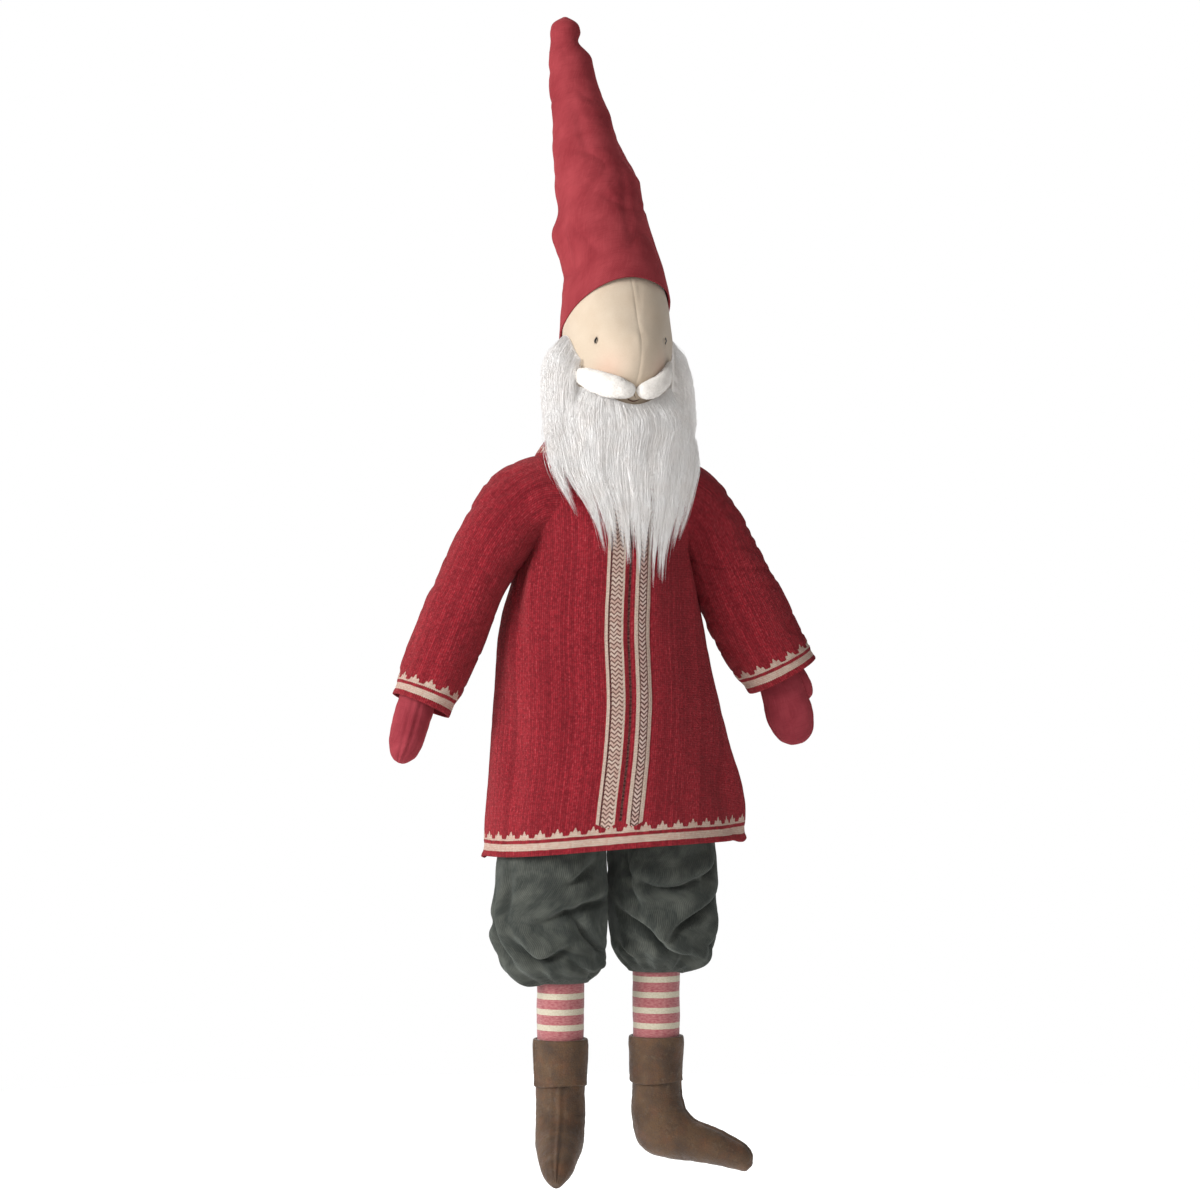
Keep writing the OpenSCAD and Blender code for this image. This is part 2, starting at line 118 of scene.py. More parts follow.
def ripple(points, size, seed=0.0):
    """A smooth random value from -1 to 1 at each point, with features about size mm across."""
    flat = (np.asarray(points, float).reshape(-1, 3) / size + seed).tolist()
    return np.array([noise.noise(p) for p in flat]).reshape(points.shape[:-1])


def creases(points, size, seed=0.0):
    """Sharp valleys between soft swellings, from 0 to about 1."""
    return 1 - np.abs(ripple(points, size, seed)) * 2.2


def outward(p):
    """Unit normals of a grid of points that closes round the piece."""
    across = np.roll(p, -1, 1) - np.roll(p, 1, 1)
    return unit(np.cross(across, np.gradient(p, axis=0)))


def unit(v):
    """Vectors along the last axis, one long."""
    return v / (np.linalg.norm(v, axis=-1, keepdims=True) + 1e-9)


def raised(p, amount):
    """The grid of points moved outward by an amount in mm at each point."""
    return p + outward(p) * amount[..., None]


def stretched(p, x, y, z):
    """The points scaled along the axes, so that a ripple over them comes out longer or shorter."""
    return p * np.array([x, y, z])


def bell(x, middle, width):
    """1 at the middle, falling to nothing over about twice the width."""
    return np.exp(-(((x - middle) / width) ** 2))


def along_rows(table, count):
    """A table's columns at evenly spread places from its first row to its last."""
    step = np.linspace(0, len(table) - 1, count)
    return curve(np.column_stack([np.arange(len(table)), np.array(table, float)]), step).T


def tube(middle, one, two, a, roundness=1.0):
    """Rings round a line of points, from their reach along two directions at every point."""
    c = np.cos(a)
    c = np.sign(c) * np.abs(c) ** roundness
    return middle[:, None] + one[:, None] * np.sin(a)[:, None] + two[:, None] * c[:, None]


def heading(line):
    """The direction of a line of points at each of them."""
    return unit(np.gradient(line, axis=0))


def angles(count, start=-180.0, end=180.0, closed=True):
    """Angles round a piece in radians: 0 is the front and 90 degrees the doll's left."""
    return np.radians(np.linspace(start, end, count, endpoint=not closed))


def new_object(name, data):
    obj = bpy.data.objects.new(name, data)
    bpy.context.scene.collection.objects.link(obj)
    return obj


def grid(name, p, closed=True, start=None, end=None, height=None, caps=(False, False)):
    """A mesh over a grid of points, rows by columns. start and end are the cloth's width in mm at each
    face's two sides, and height its length, as the weave's map."""
    rows, cols = p.shape[:2]
    count = cols if closed else cols - 1
    i, j = np.meshgrid(np.arange(rows - 1), np.arange(count), indexing="ij")
    k = (j + 1) % cols
    quads = np.stack([i * cols + j, i * cols + k, (i + 1) * cols + k, (i + 1) * cols + j], -1)
    faces = quads.reshape(-1, 4).tolist()
    if caps[0]:
        faces.append(list(range(cols))[::-1])
    if caps[1]:
        faces.append(list(range((rows - 1) * cols, rows * cols)))
    mesh = bpy.data.meshes.new(name)
    mesh.from_pydata(to_frame(p.reshape(-1, 3)).tolist(), [], faces)
    mesh.polygons.foreach_set("use_smooth", [True] * len(faces))
    if start is None:
        start, end, height = flat_map(p, closed)
    layer = mesh.uv_layers.new(name="weave")
    n = rows - 1
    corners = np.stack([
        np.stack([start[:n], height[:n, :-1]], -1),
        np.stack([end[:n], height[:n, 1:]], -1),
        np.stack([end[1:], height[1:, 1:]], -1),
        np.stack([start[1:], height[1:, :-1]], -1),
    ], 2) * MM
    uv = np.zeros((len(mesh.loops), 2))
    uv[:corners.size // 2] = corners.reshape(-1, 2)
    layer.data.foreach_set("uv", uv.astype(np.float32).ravel())
    return new_object(name, mesh)


def lengths(p, axis):
    """Running length in mm along one axis of a grid of points, from 0."""
    step = np.linalg.norm(np.diff(p, axis=axis), axis=2)
    run = np.cumsum(step, axis=axis)
    return np.concatenate([np.zeros_like(np.take(run, [0], axis)), run], axis)


def ringed(p):
    """The grid with its first column repeated at the end."""
    return np.concatenate([p, p[:, :1]], 1)


def flat_map(p, closed):
    """The weave's map of one piece of cloth: true lengths across, average length along."""
    p = ringed(p) if closed else p
    across = lengths(p, 1)
    along = np.repeat(lengths(p, 0).mean(1)[:, None], p.shape[1], 1)
    return across[:, :-1], across[:, 1:], along


def thicken(obj, thickness, inwards=True, rim=True):
    """Gives a surface the thickness of its cloth in mm, inwards or to both sides."""
    mod = obj.modifiers.new("thickness", "SOLIDIFY")
    mod.use_rim = rim
    mod.thickness = thickness * MM
    mod.offset = -1 if inwards else 0
    return obj


def apply_modifiers(obj):
    """The mesh as its modifiers leave it."""
    bpy.context.view_layer.update()
    made = obj.evaluated_get(bpy.context.evaluated_depsgraph_get())
    mesh = bpy.data.meshes.new_from_object(made)
    obj.modifiers.clear()
    obj.data = mesh
    return obj


def join(name, objects):
    """Several meshes as one object."""
    bpy.ops.object.select_all(action="DESELECT")
    for o in objects:
        o.select_set(True)
    bpy.context.view_layer.objects.active = objects[0]
    bpy.ops.object.join()
    objects[0].name = name
    return objects[0]


def rings(table, z, theta, turn=0.0):
    """Oval rings from a table of z, x shift, y shift, half width, half depth in front, half depth behind."""
    x, y, wide, front, back = curve(table, z).T[:, :, None]
    a = theta[None, :] + np.radians(turn)
    c = np.cos(a)
    up = np.broadcast_to(np.asarray(z, float)[:, None], (len(z), a.shape[1]))
    return np.stack([x + wide * np.sin(a), y - np.where(c > 0, front, back) * c, up], -1)


def threads(paths, radius, name="threads", blunt=0.06):
    """Thin three-sided tapering threads along paths, an array of threads by points by 3."""
    n, k, _ = paths.shape
    tangent = unit(np.gradient(paths, axis=1))
    side = unit(np.cross(tangent, np.array([0.31, 0.93, 0.2])))
    up = np.cross(side, tangent)
    t = np.linspace(0, 1, k)
    taper = np.maximum(np.sqrt(np.clip(1 - t**2.5, 0, 1)), blunt)
    size = np.asarray(radius, float).reshape(-1, 1, 1) * taper[None, :, None]
    turn = np.radians([0, 120, 240])
    p = np.stack([paths + size * (math.cos(a) * side + math.sin(a) * up) for a in turn], 2)
    base = (np.arange(n) * k * 3)[:, None, None]
    i = (np.arange(k - 1) * 3)[None, :, None]
    j = np.arange(3)[None, None, :]
    q = (j + 1) % 3
    quads = np.stack([base + i + j, base + i + q, base + i + 3 + q, base + i + 3 + j], -1).reshape(-1, 4)
    first = base[:, :, 0] + np.array([2, 1, 0])
    last = base[:, :, 0] + (k - 1) * 3 + np.array([0, 1, 2])
    mesh = bpy.data.meshes.new(name)
    faces = quads.tolist() + first.tolist() + last.tolist()
    mesh.from_pydata(to_frame(p.reshape(-1, 3)).tolist(), [], faces)
    mesh.polygons.foreach_set("use_smooth", [True] * len(mesh.polygons))
    mesh.uv_layers.new(name="weave")
    return new_object(name, mesh)


# ---- Materials -------------------------------------------------------------------------------------

class Shade:
    """Short hand for one material's nodes. The weave's map is in metres, and mm values are scaled."""

    def __init__(self, name, roughness, sheen, specular, sheen_tint=None):
        self.material = bpy.data.materials.new(name)
        self.material.use_nodes = True
        self.tree = self.material.node_tree
        self.tree.nodes.clear()
        out = self.node("ShaderNodeOutputMaterial")
        self.surface = self.node("ShaderNodeBsdfPrincipled")
        self.link(self.surface.outputs[0], out.inputs[0])
        self.surface.inputs["Roughness"].default_value = roughness
        self.surface.inputs["Sheen Weight"].default_value = sheen
        self.surface.inputs["Sheen Roughness"].default_value = 0.5
        self.surface.inputs["Specular IOR Level"].default_value = specular
        if sheen_tint:
            self.surface.inputs["Sheen Tint"].default_value = (*sheen_tint, 1)

    def node(self, kind, **settings):
        made = self.tree.nodes.new(kind)
        for key, value in settings.items():
            setattr(made, key, value)
        return made

    def link(self, a, b):
        self.tree.links.new(a, b)

    def put(self, socket, value):
        if isinstance(value, bpy.types.NodeSocket):
            self.link(value, socket)
        elif isinstance(value, (tuple, list)) and len(value) == 3 and len(socket.default_value) == 4:
            socket.default_value = (*value, 1)
        else:
            socket.default_value = value

    def math(self, operation, a, b=0.0, c=0.0):
        made = self.node("ShaderNodeMath", operation=operation)
        for socket, value in zip(made.inputs, (a, b, c)):
            self.put(socket, value)
        return made.outputs[0]

    def add(self, a, b):
        return self.math("ADD", a, b)

    def times(self, a, b):
        return self.math("MULTIPLY", a, b)

    def minus(self, a, b):
        return self.math("SUBTRACT", a, b)

    def off(self, a, b):
        """How far a lies from b."""
        return self.math("ABSOLUTE", self.minus(a, b))

    def above(self, a, b):
        return self.math("GREATER_THAN", a, b)

    def within(self, a, low, high):
        """1 where a lies from low to high."""
        return self.times(self.above(a, low), self.math("LESS_THAN", a, high))

    def mix(self, factor, a, b):
        made = self.node("ShaderNodeMix", data_type="RGBA")
        self.put(made.inputs[0], factor)
        self.put(made.inputs[6], a)
        self.put(made.inputs[7], b)
        return made.outputs[2]

    def vector(self, weave=True):
        if weave:
            return self.node("ShaderNodeUVMap", uv_map="weave").outputs[0]
        return self.node("ShaderNodeTexCoord").outputs["Object"]

    def parts(self, vector):
        made = self.node("ShaderNodeSeparateXYZ")
        self.link(vector, made.inputs[0])
        return made.outputs[0], made.outputs[1]

    def point(self, x, y):
        made = self.node("ShaderNodeCombineXYZ")
        for socket, value in zip(made.inputs, (x, y)):
            self.put(socket, value)
        return made.outputs[0]

    def noise(self, size, detail=2.0, vector=None, stretch=None, rough=0.5):
        """Noise with features about size mm across, stretched by the factors given."""
        vector = vector or self.vector()
        if stretch:
            made = self.node("ShaderNodeVectorMath", operation="MULTIPLY")
            self.link(vector, made.inputs[0])
            made.inputs[1].default_value = stretch
            vector = made.outputs[0]
        made = self.node("ShaderNodeTexNoise")
        self.link(vector, made.inputs["Vector"])
        made.inputs["Scale"].default_value = 1 / (size * MM)
        made.inputs["Detail"].default_value = detail
        made.inputs["Roughness"].default_value = rough
        return made.outputs[0]

    def random(self, vector):
        made = self.node("ShaderNodeTexWhiteNoise", noise_dimensions="2D")
        self.link(vector, made.inputs["Vector"])
        return made.outputs[0]

    def darker(self, colour, value):
        made = self.node("ShaderNodeHueSaturation")
        made.inputs["Value"].default_value = value
        self.put(made.inputs["Color"], colour)
        return made.outputs[0]

    def spread(self, value, low, high, out_low=0.0, out_high=1.0):
        made = self.node("ShaderNodeMapRange")
        for socket, v in zip(made.inputs, (value, low, high, out_low, out_high)):
            self.put(socket, v)
        return made.outputs[0]

    def tint(self, colour, other, value, low, high, at_low=0.0, at_high=1.0):
        """The colour with a share of the other that goes with the value, from at_low to at_high."""
        return self.mix(self.spread(value, low, high, at_low, at_high), colour, other)

    def weave(self, u, v, pitch, uneven=0.0):
        """Crossing threads as a wave from -1 to 1, with pitch mm from one thread to the next but one."""
        turn = 2 * math.pi / (pitch * MM)
        warp, weft = (self.math("SINE", self.math("MULTIPLY_ADD", place, turn, uneven)) for place in (u, v))
        return self.times(warp, weft)

    def glow(self, colour, strength):
        self.surface.inputs["Emission Color"].default_value = (*colour, 1)
        self.surface.inputs["Emission Strength"].default_value = strength

    def finish(self, colour, height=None, distance=0.3, strength=1.0):
        """Sets the colour, and a bump of that many mm."""
        self.put(self.surface.inputs["Base Color"], colour)
        if height is not None:
            bump = self.node("ShaderNodeBump")
            bump.inputs["Distance"].default_value = distance * MM
            bump.inputs["Strength"].default_value = strength
            self.put(bump.inputs["Height"], height)
            self.link(bump.outputs[0], self.surface.inputs["Normal"])
        return self.material


def rgb(r, g, b):
    """An sRGB colour from 0 to 255 as linear light."""
    return tuple(
        c / 12.92 if c <= 0.04045 else ((c + 0.055) / 1.055) ** 2.4 for c in (r / 255, g / 255, b / 255)
    )


WALE = 1.72                         # width and height of a knitted stitch
COURSE = 1.35
BAND_STITCH = (4.9, 3.4)            # the bands' larger V's
CROWN = 8                           # stitches from one crown of the border to the next
RED = rgb(176, 42, 54)
RED_DARK = rgb(100, 14, 26)
RED_FLECK = rgb(206, 92, 98)
CREAM = rgb(222, 204, 186)
ROSE = rgb(202, 158, 142)
TAUPE = rgb(146, 126, 112)


def stitches(s, u, v, wale, course, slope=0.55):
    """Columns of V shaped stitches: place across in stitches, row number, place up in rows, height of the
    yarn, and a random value for each stitch."""
    across = s.times(u, 1 / (wale * MM))
    column = s.math("FLOOR", across)
    lean = s.times(s.off(s.minus(across, column), 0.5), 2)
    wobble = s.times(s.minus(s.noise(9, 2), 0.5), 0.7)
    run = s.add(s.minus(s.times(v, 1 / (course * MM)), s.times(lean, slope)), wobble)
    row = s.math("FLOOR", run)
    leg = s.minus(1, s.math("POWER", s.off(s.times(lean, 2), 1), 2.5))
    arch = s.math("SINE", s.times(s.minus(run, row), math.pi))
    height = s.times(leg, s.add(0.45, s.times(arch, 0.55)))
    return across, row, run, height, s.random(s.point(column, row))


def hem_border(s, across, row, run, pale, red):
    """A cream band, and above it a line of small three-peaked crowns, one every eight stitches."""
    line = s.add(s.within(row, 2.5, 6.5), s.within(row, 8.5, 9.5))
    place = s.math("FRACT", s.times(s.add(across, 4000), 1 / CROWN))
    away = s.times(s.off(place, 0.5), CROWN)
    middle = s.minus(1.05, s.times(s.times(away, away), 0.6))
    side = s.minus(away, 1.75)
    crown = s.math("MAXIMUM", middle, s.minus(0.68, s.times(s.times(side, side), 0.6)))
    rise = s.times(s.minus(s.times(s.add(run, row), 0.5), 9.4), 0.25)
    line = s.add(line, s.times(s.above(row, 9.5), s.above(crown, rise)))
    return s.mix(s.math("MINIMUM", line, 1), red, pale)


def large_stitches(s, u, v, shift):
    """The V rows of a band, as a wave, and a random value for each stitch."""
    _across, _row, run, _height, each = stitches(s, s.add(u, shift), v, *BAND_STITCH, slope=0.7)
    return s.math("SINE", s.times(s.math("FRACT", run), math.pi)), each


def front_bands(s, u, v, colour, height):
    """Two bands up the coat's front on either side of a sunk line, with painted shade in the sunk lines and
    between the bands' stitches. The doll's left one is greyer.
    """
    away = s.times(u, 1000)
    low = s.add(16.5, s.times(s.off(s.math("ABSOLUTE", away), 10.5), 0.5))
    upright = s.above(s.times(v, 1000), low)
    big, each = large_stitches(s, u, v, 0.0046)
    chained, _each = large_stitches(s, u, v, 0.0012)
    yarn_light = s.tint(rgb(232, 214, 198), ROSE, each, 0, 1, 0, 0.6)
    # Painted shade: the bands' yarn darkens between the rows of their large stitches, in right_band and chain
    # alike.
    right_band = s.tint(yarn_light, rgb(104, 76, 68), big, 0.3, 0.85, 1.0, 0)
    grey_yarn = s.tint(rgb(224, 206, 194), rgb(204, 168, 156), each, 0, 1, 0, 0.8)
    chain = s.tint(grey_yarn, rgb(72, 56, 50), chained, 0.35, 0.9, 1.0, 0)
    edge = s.tint(CREAM, TAUPE, s.noise(1.4, 2), 0.4, 0.7, 0, 0.5)
    flat = (0.4, 1, 1)
    # Painted shade: a near-black colour, and a lower yarn height, for the two sunk lines.
    dark = s.tint(rgb(38, 20, 22), rgb(110, 74, 68), s.noise(1.6, 2, stretch=flat), 0.4, 0.6)
    dotted = s.tint(rgb(60, 42, 40), TAUPE, s.noise(1.8, 2, stretch=flat), 0.42, 0.58)
    for low_edge, high_edge, yarn_colour in (
        (-15.2, -4.6, right_band), (-6.2, -4.6, edge), (-16.7, -15.2, dark), (-19.2, -16.7, edge),
        (4.6, 7.4, edge), (7.4, 8.6, dotted), (8.6, 13.7, chain), (13.7, 14.7, dotted), (14.7, 17.8, edge),
        (-1.1, 1.1, dark),
    ):
        inside = s.times(s.within(away, low_edge, high_edge), upright)
        colour = s.mix(s.times(inside, 0.92), colour, yarn_colour)
    sunk = s.add(s.within(away, -16.7, -15.2), s.within(away, -1.1, 1.1))
    return colour, s.times(height, s.minus(1, s.times(s.times(sunk, upright), 0.8)))


def red_yarn(s, across, column, each):
    """Heathered red: light flecks, painted shade in the grooves between the wales, and uneven stitches."""
    red = s.mix(s.times(s.spread(s.noise(1.8, 3), 0.48, 0.8), 0.7), RED, RED_FLECK)
    red = s.tint(red, RED_DARK, s.noise(40, 2), 0.35, 0.75, 0, 0.25)
    red = s.tint(red, RED_DARK, s.noise(1.7, 1, stretch=(1, 0.35, 1)), 0.42, 0.7, 0, 0.5)
    # Painted shade: the red darkens towards each wale's edges, where the grooves between the wales lie.
    groove = s.times(s.off(s.minus(across, column), 0.5), 2)
    red = s.tint(red, RED_DARK, groove, 0.5, 1, 0, 0.75)
    red = s.tint(red, RED_DARK, each, 0.5, 1, 0, 0.5)
    return s.tint(red, RED_DARK, s.random(s.point(column, 7.0)), 0.3, 1, 0, 0.45)


def knit(name, bands=False, neck_height=None):
    """Stocking stitch with the cream border along its lower edge, and the coat's bands up the front."""
    s = Shade(name, roughness=0.95, sheen=0.25, specular=0.15, sheen_tint=rgb(235, 120, 120))
    u, v = s.parts(s.vector())
    across, row, run, height, each = stitches(s, u, v, WALE, COURSE)
    column = s.math("FLOOR", across)
    red = red_yarn(s, across, column, each)
    pale = s.tint(CREAM, ROSE, each, 0, 1, 0, 0.6)
    # Painted shade: the pale yarn turns taupe where it lies low between the stitches.
    pale = s.tint(pale, TAUPE, height, 0.1, 0.7, 0.7, 0)
    colour = hem_border(s, across, row, run, pale, red)
    if neck_height:
        down = s.minus(neck_height / COURSE, run)
        dash = s.above(s.math("SINE", s.times(s.add(column, down), 2 * math.pi / 4)), 0.2)
        colour = s.mix(s.times(s.within(down, 0.5, 4.5), dash), colour, pale)
    if bands:
        colour, height = front_bands(s, u, v, colour, height)
    # Painted shade: every colour darkens where the yarn lies low, in the gaps between the stitches.
    colour = s.tint(colour, s.darker(colour, 0.5), height, 0, 0.75, 0.8, 0)
    fuzz = s.times(s.noise(0.8, 3), 0.35)
    return s.finish(colour, s.add(height, fuzz), 0.6, 1.0)


def linen(name, base, light, dark, thread=0.55):
    """Plain weave: crossing threads of uneven thickness, slubs and mottled dye."""
    s = Shade(name, roughness=0.88, sheen=0.35, specular=0.2, sheen_tint=rgb(220, 90, 96))
    u, v = s.parts(s.vector())
    uneven = s.times(s.minus(s.noise(7, 2), 0.5), 2.5)
    weave = s.add(s.times(s.weave(u, v, 2 * thread, uneven), 0.5), 0.5)
    slub = s.noise(1.1, 3, stretch=(1, 0.08, 1))
    slub_across = s.noise(1.1, 3, stretch=(0.08, 1, 1))
    colour = s.tint(dark, light, s.noise(24, 4), 0.3, 0.75)
    colour = s.mix(0.35, colour, base)
    colour = s.tint(colour, light, slub, 0.5, 0.8, 0, 0.5)
    colour = s.tint(colour, dark, slub_across, 0.5, 0.8, 0, 0.4)
    colour = s.mix(s.times(weave, 0.25), colour, dark)
    return s.finish(colour, s.add(weave, s.add(slub, slub_across)), 0.16, 0.8)


def muslin(name, blush=False):
    """Fine plain cloth in a skin tone, with rosy cheeks on the face."""
    s = Shade(name, roughness=0.85, sheen=0.25, specular=0.2)
    u, v = s.parts(s.vector())
    weave = s.weave(u, v, 0.7)
    colour = s.tint(rgb(197, 181, 161), rgb(191, 173, 152), s.noise(18, 3), 0.3, 0.7)
    colour = s.tint(colour, rgb(180, 160, 138), s.noise(1.2, 2), 0.5, 0.8, 0, 0.3)
    if blush:
        rosy = s.node("ShaderNodeVertexColor", layer_name="blush").outputs[0]
        grey = s.node("ShaderNodeSeparateColor")
        s.link(rosy, grey.inputs[0])
        colour = s.mix(s.times(grey.outputs[0], 0.2), colour, rgb(226, 160, 142))
    return s.finish(colour, s.add(s.times(weave, 0.4), s.noise(2, 3)), 0.12, 0.7)


def needlecord():
    """Fine ribs along the leg, with a rubbed nap."""
    s = Shade("needlecord", roughness=0.95, sheen=0.4, specular=0.1, sheen_tint=rgb(150, 156, 150))
    u, _v = s.parts(s.vector())
    rib = s.math("SINE", s.times(u, 2 * math.pi / (1.5 * MM)))
    rib = s.math("POWER", s.add(s.times(rib, 0.5), 0.5), 0.6)
    colour = s.tint(rgb(50, 53, 50), rgb(84, 86, 80), s.noise(15, 4), 0.42, 0.72)
    rubbed = s.noise(1.1, 2, stretch=(1, 0.15, 1))
    colour = s.tint(colour, rgb(108, 109, 100), rubbed, 0.4, 0.8, 0, 0.22)
    # Painted shade: darker in the valleys between the cords.
    colour = s.tint(colour, rgb(40, 43, 41), rib, 0, 1, 0.5, 0)
    return s.finish(colour, s.add(rib, s.times(s.noise(0.6, 2), 0.4)), 0.28, 0.9)


STRIPE = 12.1                       # one pink and one cream stripe of the stockings


def striped_cotton():
    """Cream stripes between broader ones of heathered pink."""
    s = Shade("striped_cotton", roughness=0.9, sheen=0.3, specular=0.2)
    u, v = s.parts(s.vector())
    edge = s.times(s.minus(s.noise(1.2, 2), 0.5), 0.0006)
    place = s.math("FRACT", s.times(s.add(v, edge), 1 / (STRIPE * MM)))
    cream = s.tint(rgb(186, 178, 158), rgb(172, 162, 142), s.noise(1.4, 2), 0.4, 0.7)
    heather = s.spread(s.noise(0.9, 3, stretch=(0.3, 1, 1)), 0.35, 0.7)
    pink = s.mix(heather, rgb(142, 74, 80), rgb(170, 114, 112))
    colour = s.mix(s.math("LESS_THAN", place, 0.375), pink, cream)
    return s.finish(colour, s.add(s.times(s.weave(u, v, 1.0), 0.4), heather), 0.15, 0.8)


def leather():
    """Thin soft leather with a broken grain, rubbed reddish on folds and greyed in patches."""
    s = Shade("brown_leather", roughness=0.62, sheen=0.08, specular=0.35)
    around = s.vector(False)
    colour = s.tint(rgb(64, 44, 27), rgb(90, 66, 43), s.noise(16, 5, around, rough=0.6), 0.35, 0.65)
    colour = s.tint(colour, rgb(112, 66, 38), s.noise(12, 4, around), 0.45, 0.75, 0, 0.35)
    colour = s.tint(colour, rgb(106, 90, 72), s.noise(5, 5, around, rough=0.7), 0.56, 0.72, 0, 0.5)
    cells = s.node("ShaderNodeTexVoronoi", feature="DISTANCE_TO_EDGE")
    s.link(around, cells.inputs["Vector"])
    cells.inputs["Scale"].default_value = 1 / (1.6 * MM)
    grain = s.spread(cells.outputs[0], 0, 0.12)
    colour = s.tint(colour, rgb(44, 30, 22), grain, 0, 1, 0.45, 0)
    s.put(s.surface.inputs["Roughness"], s.spread(s.noise(4, 3, around), 0.3, 0.7, 0.5, 0.8))
    worn = s.times(s.noise(3, 4, around), 1.2)
    return s.finish(colour, s.add(s.times(grain, 0.5), worn), 0.35, 0.8)


def wool():
    """Combed white wool."""
    s = Shade("wool", roughness=0.75, sheen=0.4, specular=0.25)
    around = s.vector(False)
    streak = s.noise(1.6, 3, around, stretch=(1, 1, 0.12))
    colour = s.tint(rgb(216, 214, 213), rgb(241, 240, 239), streak, 0.35, 0.7)
    colour = s.tint(colour, rgb(214, 205, 198), s.noise(14, 2, around), 0.4, 0.7, 0, 0.3)
    # Painted light: the wool glows a little, standing in for the light that passes through the loose fibres.
    s.glow(rgb(250, 245, 240), 0.12)
    return s.finish(colour, streak, 0.4, 0.7)


def felt():
    s = Shade("white_felt", roughness=0.85, sheen=0.5, specular=0.15)
    matted = s.noise(1.6, 5, s.vector(False), rough=0.65)
    colour = s.tint(rgb(240, 235, 229), rgb(222, 216, 209), matted, 0.3, 0.7)
    return s.finish(colour, matted, 0.35, 0.7)


def fibre():
    """Polyester filling."""
    s = Shade("filling", roughness=1.0, sheen=0.4, specular=0.05)
    tangle = s.noise(3, 6, s.vector(False), rough=0.7)
    return s.finish(s.mix(tangle, rgb(236, 234, 228), rgb(200, 198, 192)), tangle, 1.5, 0.8)


def yarn(name, base, dark):
    """Twisted sewing thread or covered elastic."""
    s = Shade(name, roughness=0.7, sheen=0.3, specular=0.3)
    twist = s.noise(0.5, 2, s.vector(False))
    return s.finish(s.mix(twist, rgb(*dark), rgb(*base)), twist, 0.15, 0.8)


MATERIALS = {
    "coat": knit("red_knit_coat", bands=True, neck_height=317),
    "sleeve": knit("red_knit_sleeve"),
    "hat": linen("red_linen_hat", rgb(144, 46, 53), rgb(162, 67, 72), rgb(113, 31, 38)),
    "mitten": linen("red_linen_mitten", rgb(138, 44, 54), rgb(158, 66, 74), rgb(108, 28, 38), thread=0.5),
    "face": muslin("muslin_face", blush=True),
    "muslin": muslin("muslin"),
    "cord": needlecord(),
    "stripes": striped_cotton(),
    "leather": leather(),
    "wool": wool(),
    "felt": felt(),
    "fibre": fibre(),
    "black": yarn("black_thread", (30, 26, 26), (8, 7, 7)),
    "brown": yarn("brown_thread", (112, 66, 50), (66, 34, 26)),
    "tan": yarn("tan_thread", (206, 182, 156), (176, 148, 122)),
    "elastic": yarn("elastic", (228, 226, 220), (180, 178, 172)),
}


def dress(obj, material):
    """Puts one of the materials on a piece."""
    obj.data.materials.clear()
    obj.data.materials.append(MATERIALS[material])
    return obj


# ---- Head ------------------------------------------------------------------------------------------

FACE_TURN = 4.0                     # the face looks a little to the doll's left
# Height, x shift, y shift, half width, half depth in front, half depth behind.
HEAD = [
    (570, -1, -1, 20, 20, 20), (582, -1, -3, 27, 31, 27), (594, -0.5, -6, 36, 41, 33),
    (607, 1, -8, 41, 46, 36), (620, 3.2, -8, 42.2, 48.5, 39), (634, 5.4, -7, 42.6, 49.5, 41),
    (648, 6.4, -6, 42.7, 49.5, 42), (660, 6.4, -4, 42.2, 48, 42), (675, 6.3, -2, 41, 44, 41),
    (690, 5.8, 0, 38, 39, 38), (704, 4.6, 1, 31.5, 31, 31), (716, 3, 2, 21, 20, 21), (723, 2, 3, 8, 8, 8),
]


def head_surface(z, theta, out=0.0):
    """Points of the head, out mm off its cloth: a snout in the middle, and shallow cheeks beside it."""
    p = rings(HEAD, z, theta, FACE_TURN)
    z = np.asarray(z, float)[:, None]
    degrees = np.degrees(theta)[None, :]
    snout = 5.5 * bell(degrees, 0, 30) * bell(z, 627, 24)
    cheek = -2.2 * bell(np.abs(degrees), 50, 16) * bell(z, 634, 24)
    brow = -2.0 * bell(degrees, 0, 26) * bell(z, 664, 16)
    return p + outward(p) * (out + snout + cheek + brow)[..., None]


def head_point(z, degrees, out=0.0):
    """One point of the head's surface, by height and angle from the face's middle."""
    theta = angles(180)
    ring = head_surface(np.array([z - 1.0, z, z + 1.0]), theta, out)[1]
    k = np.interp(degrees, np.degrees(theta), np.arange(180))
    low = int(k)
    return ring[low] * (1 - (k - low)) + ring[(low + 1) % 180] * (k - low)


EYES = {1: 35.0, -1: 47.0}          # angle of each eye from the face's seam


def cheek_blush(obj, blush):
    """The rosy share of every point, as a colour attribute for the face's material."""
    layer = obj.data.color_attributes.new("blush", "FLOAT_COLOR", "POINT")
    value = np.repeat(blush.reshape(-1, 1), 4, 1).astype(np.float32)
    layer.data.foreach_set("color", value.ravel())


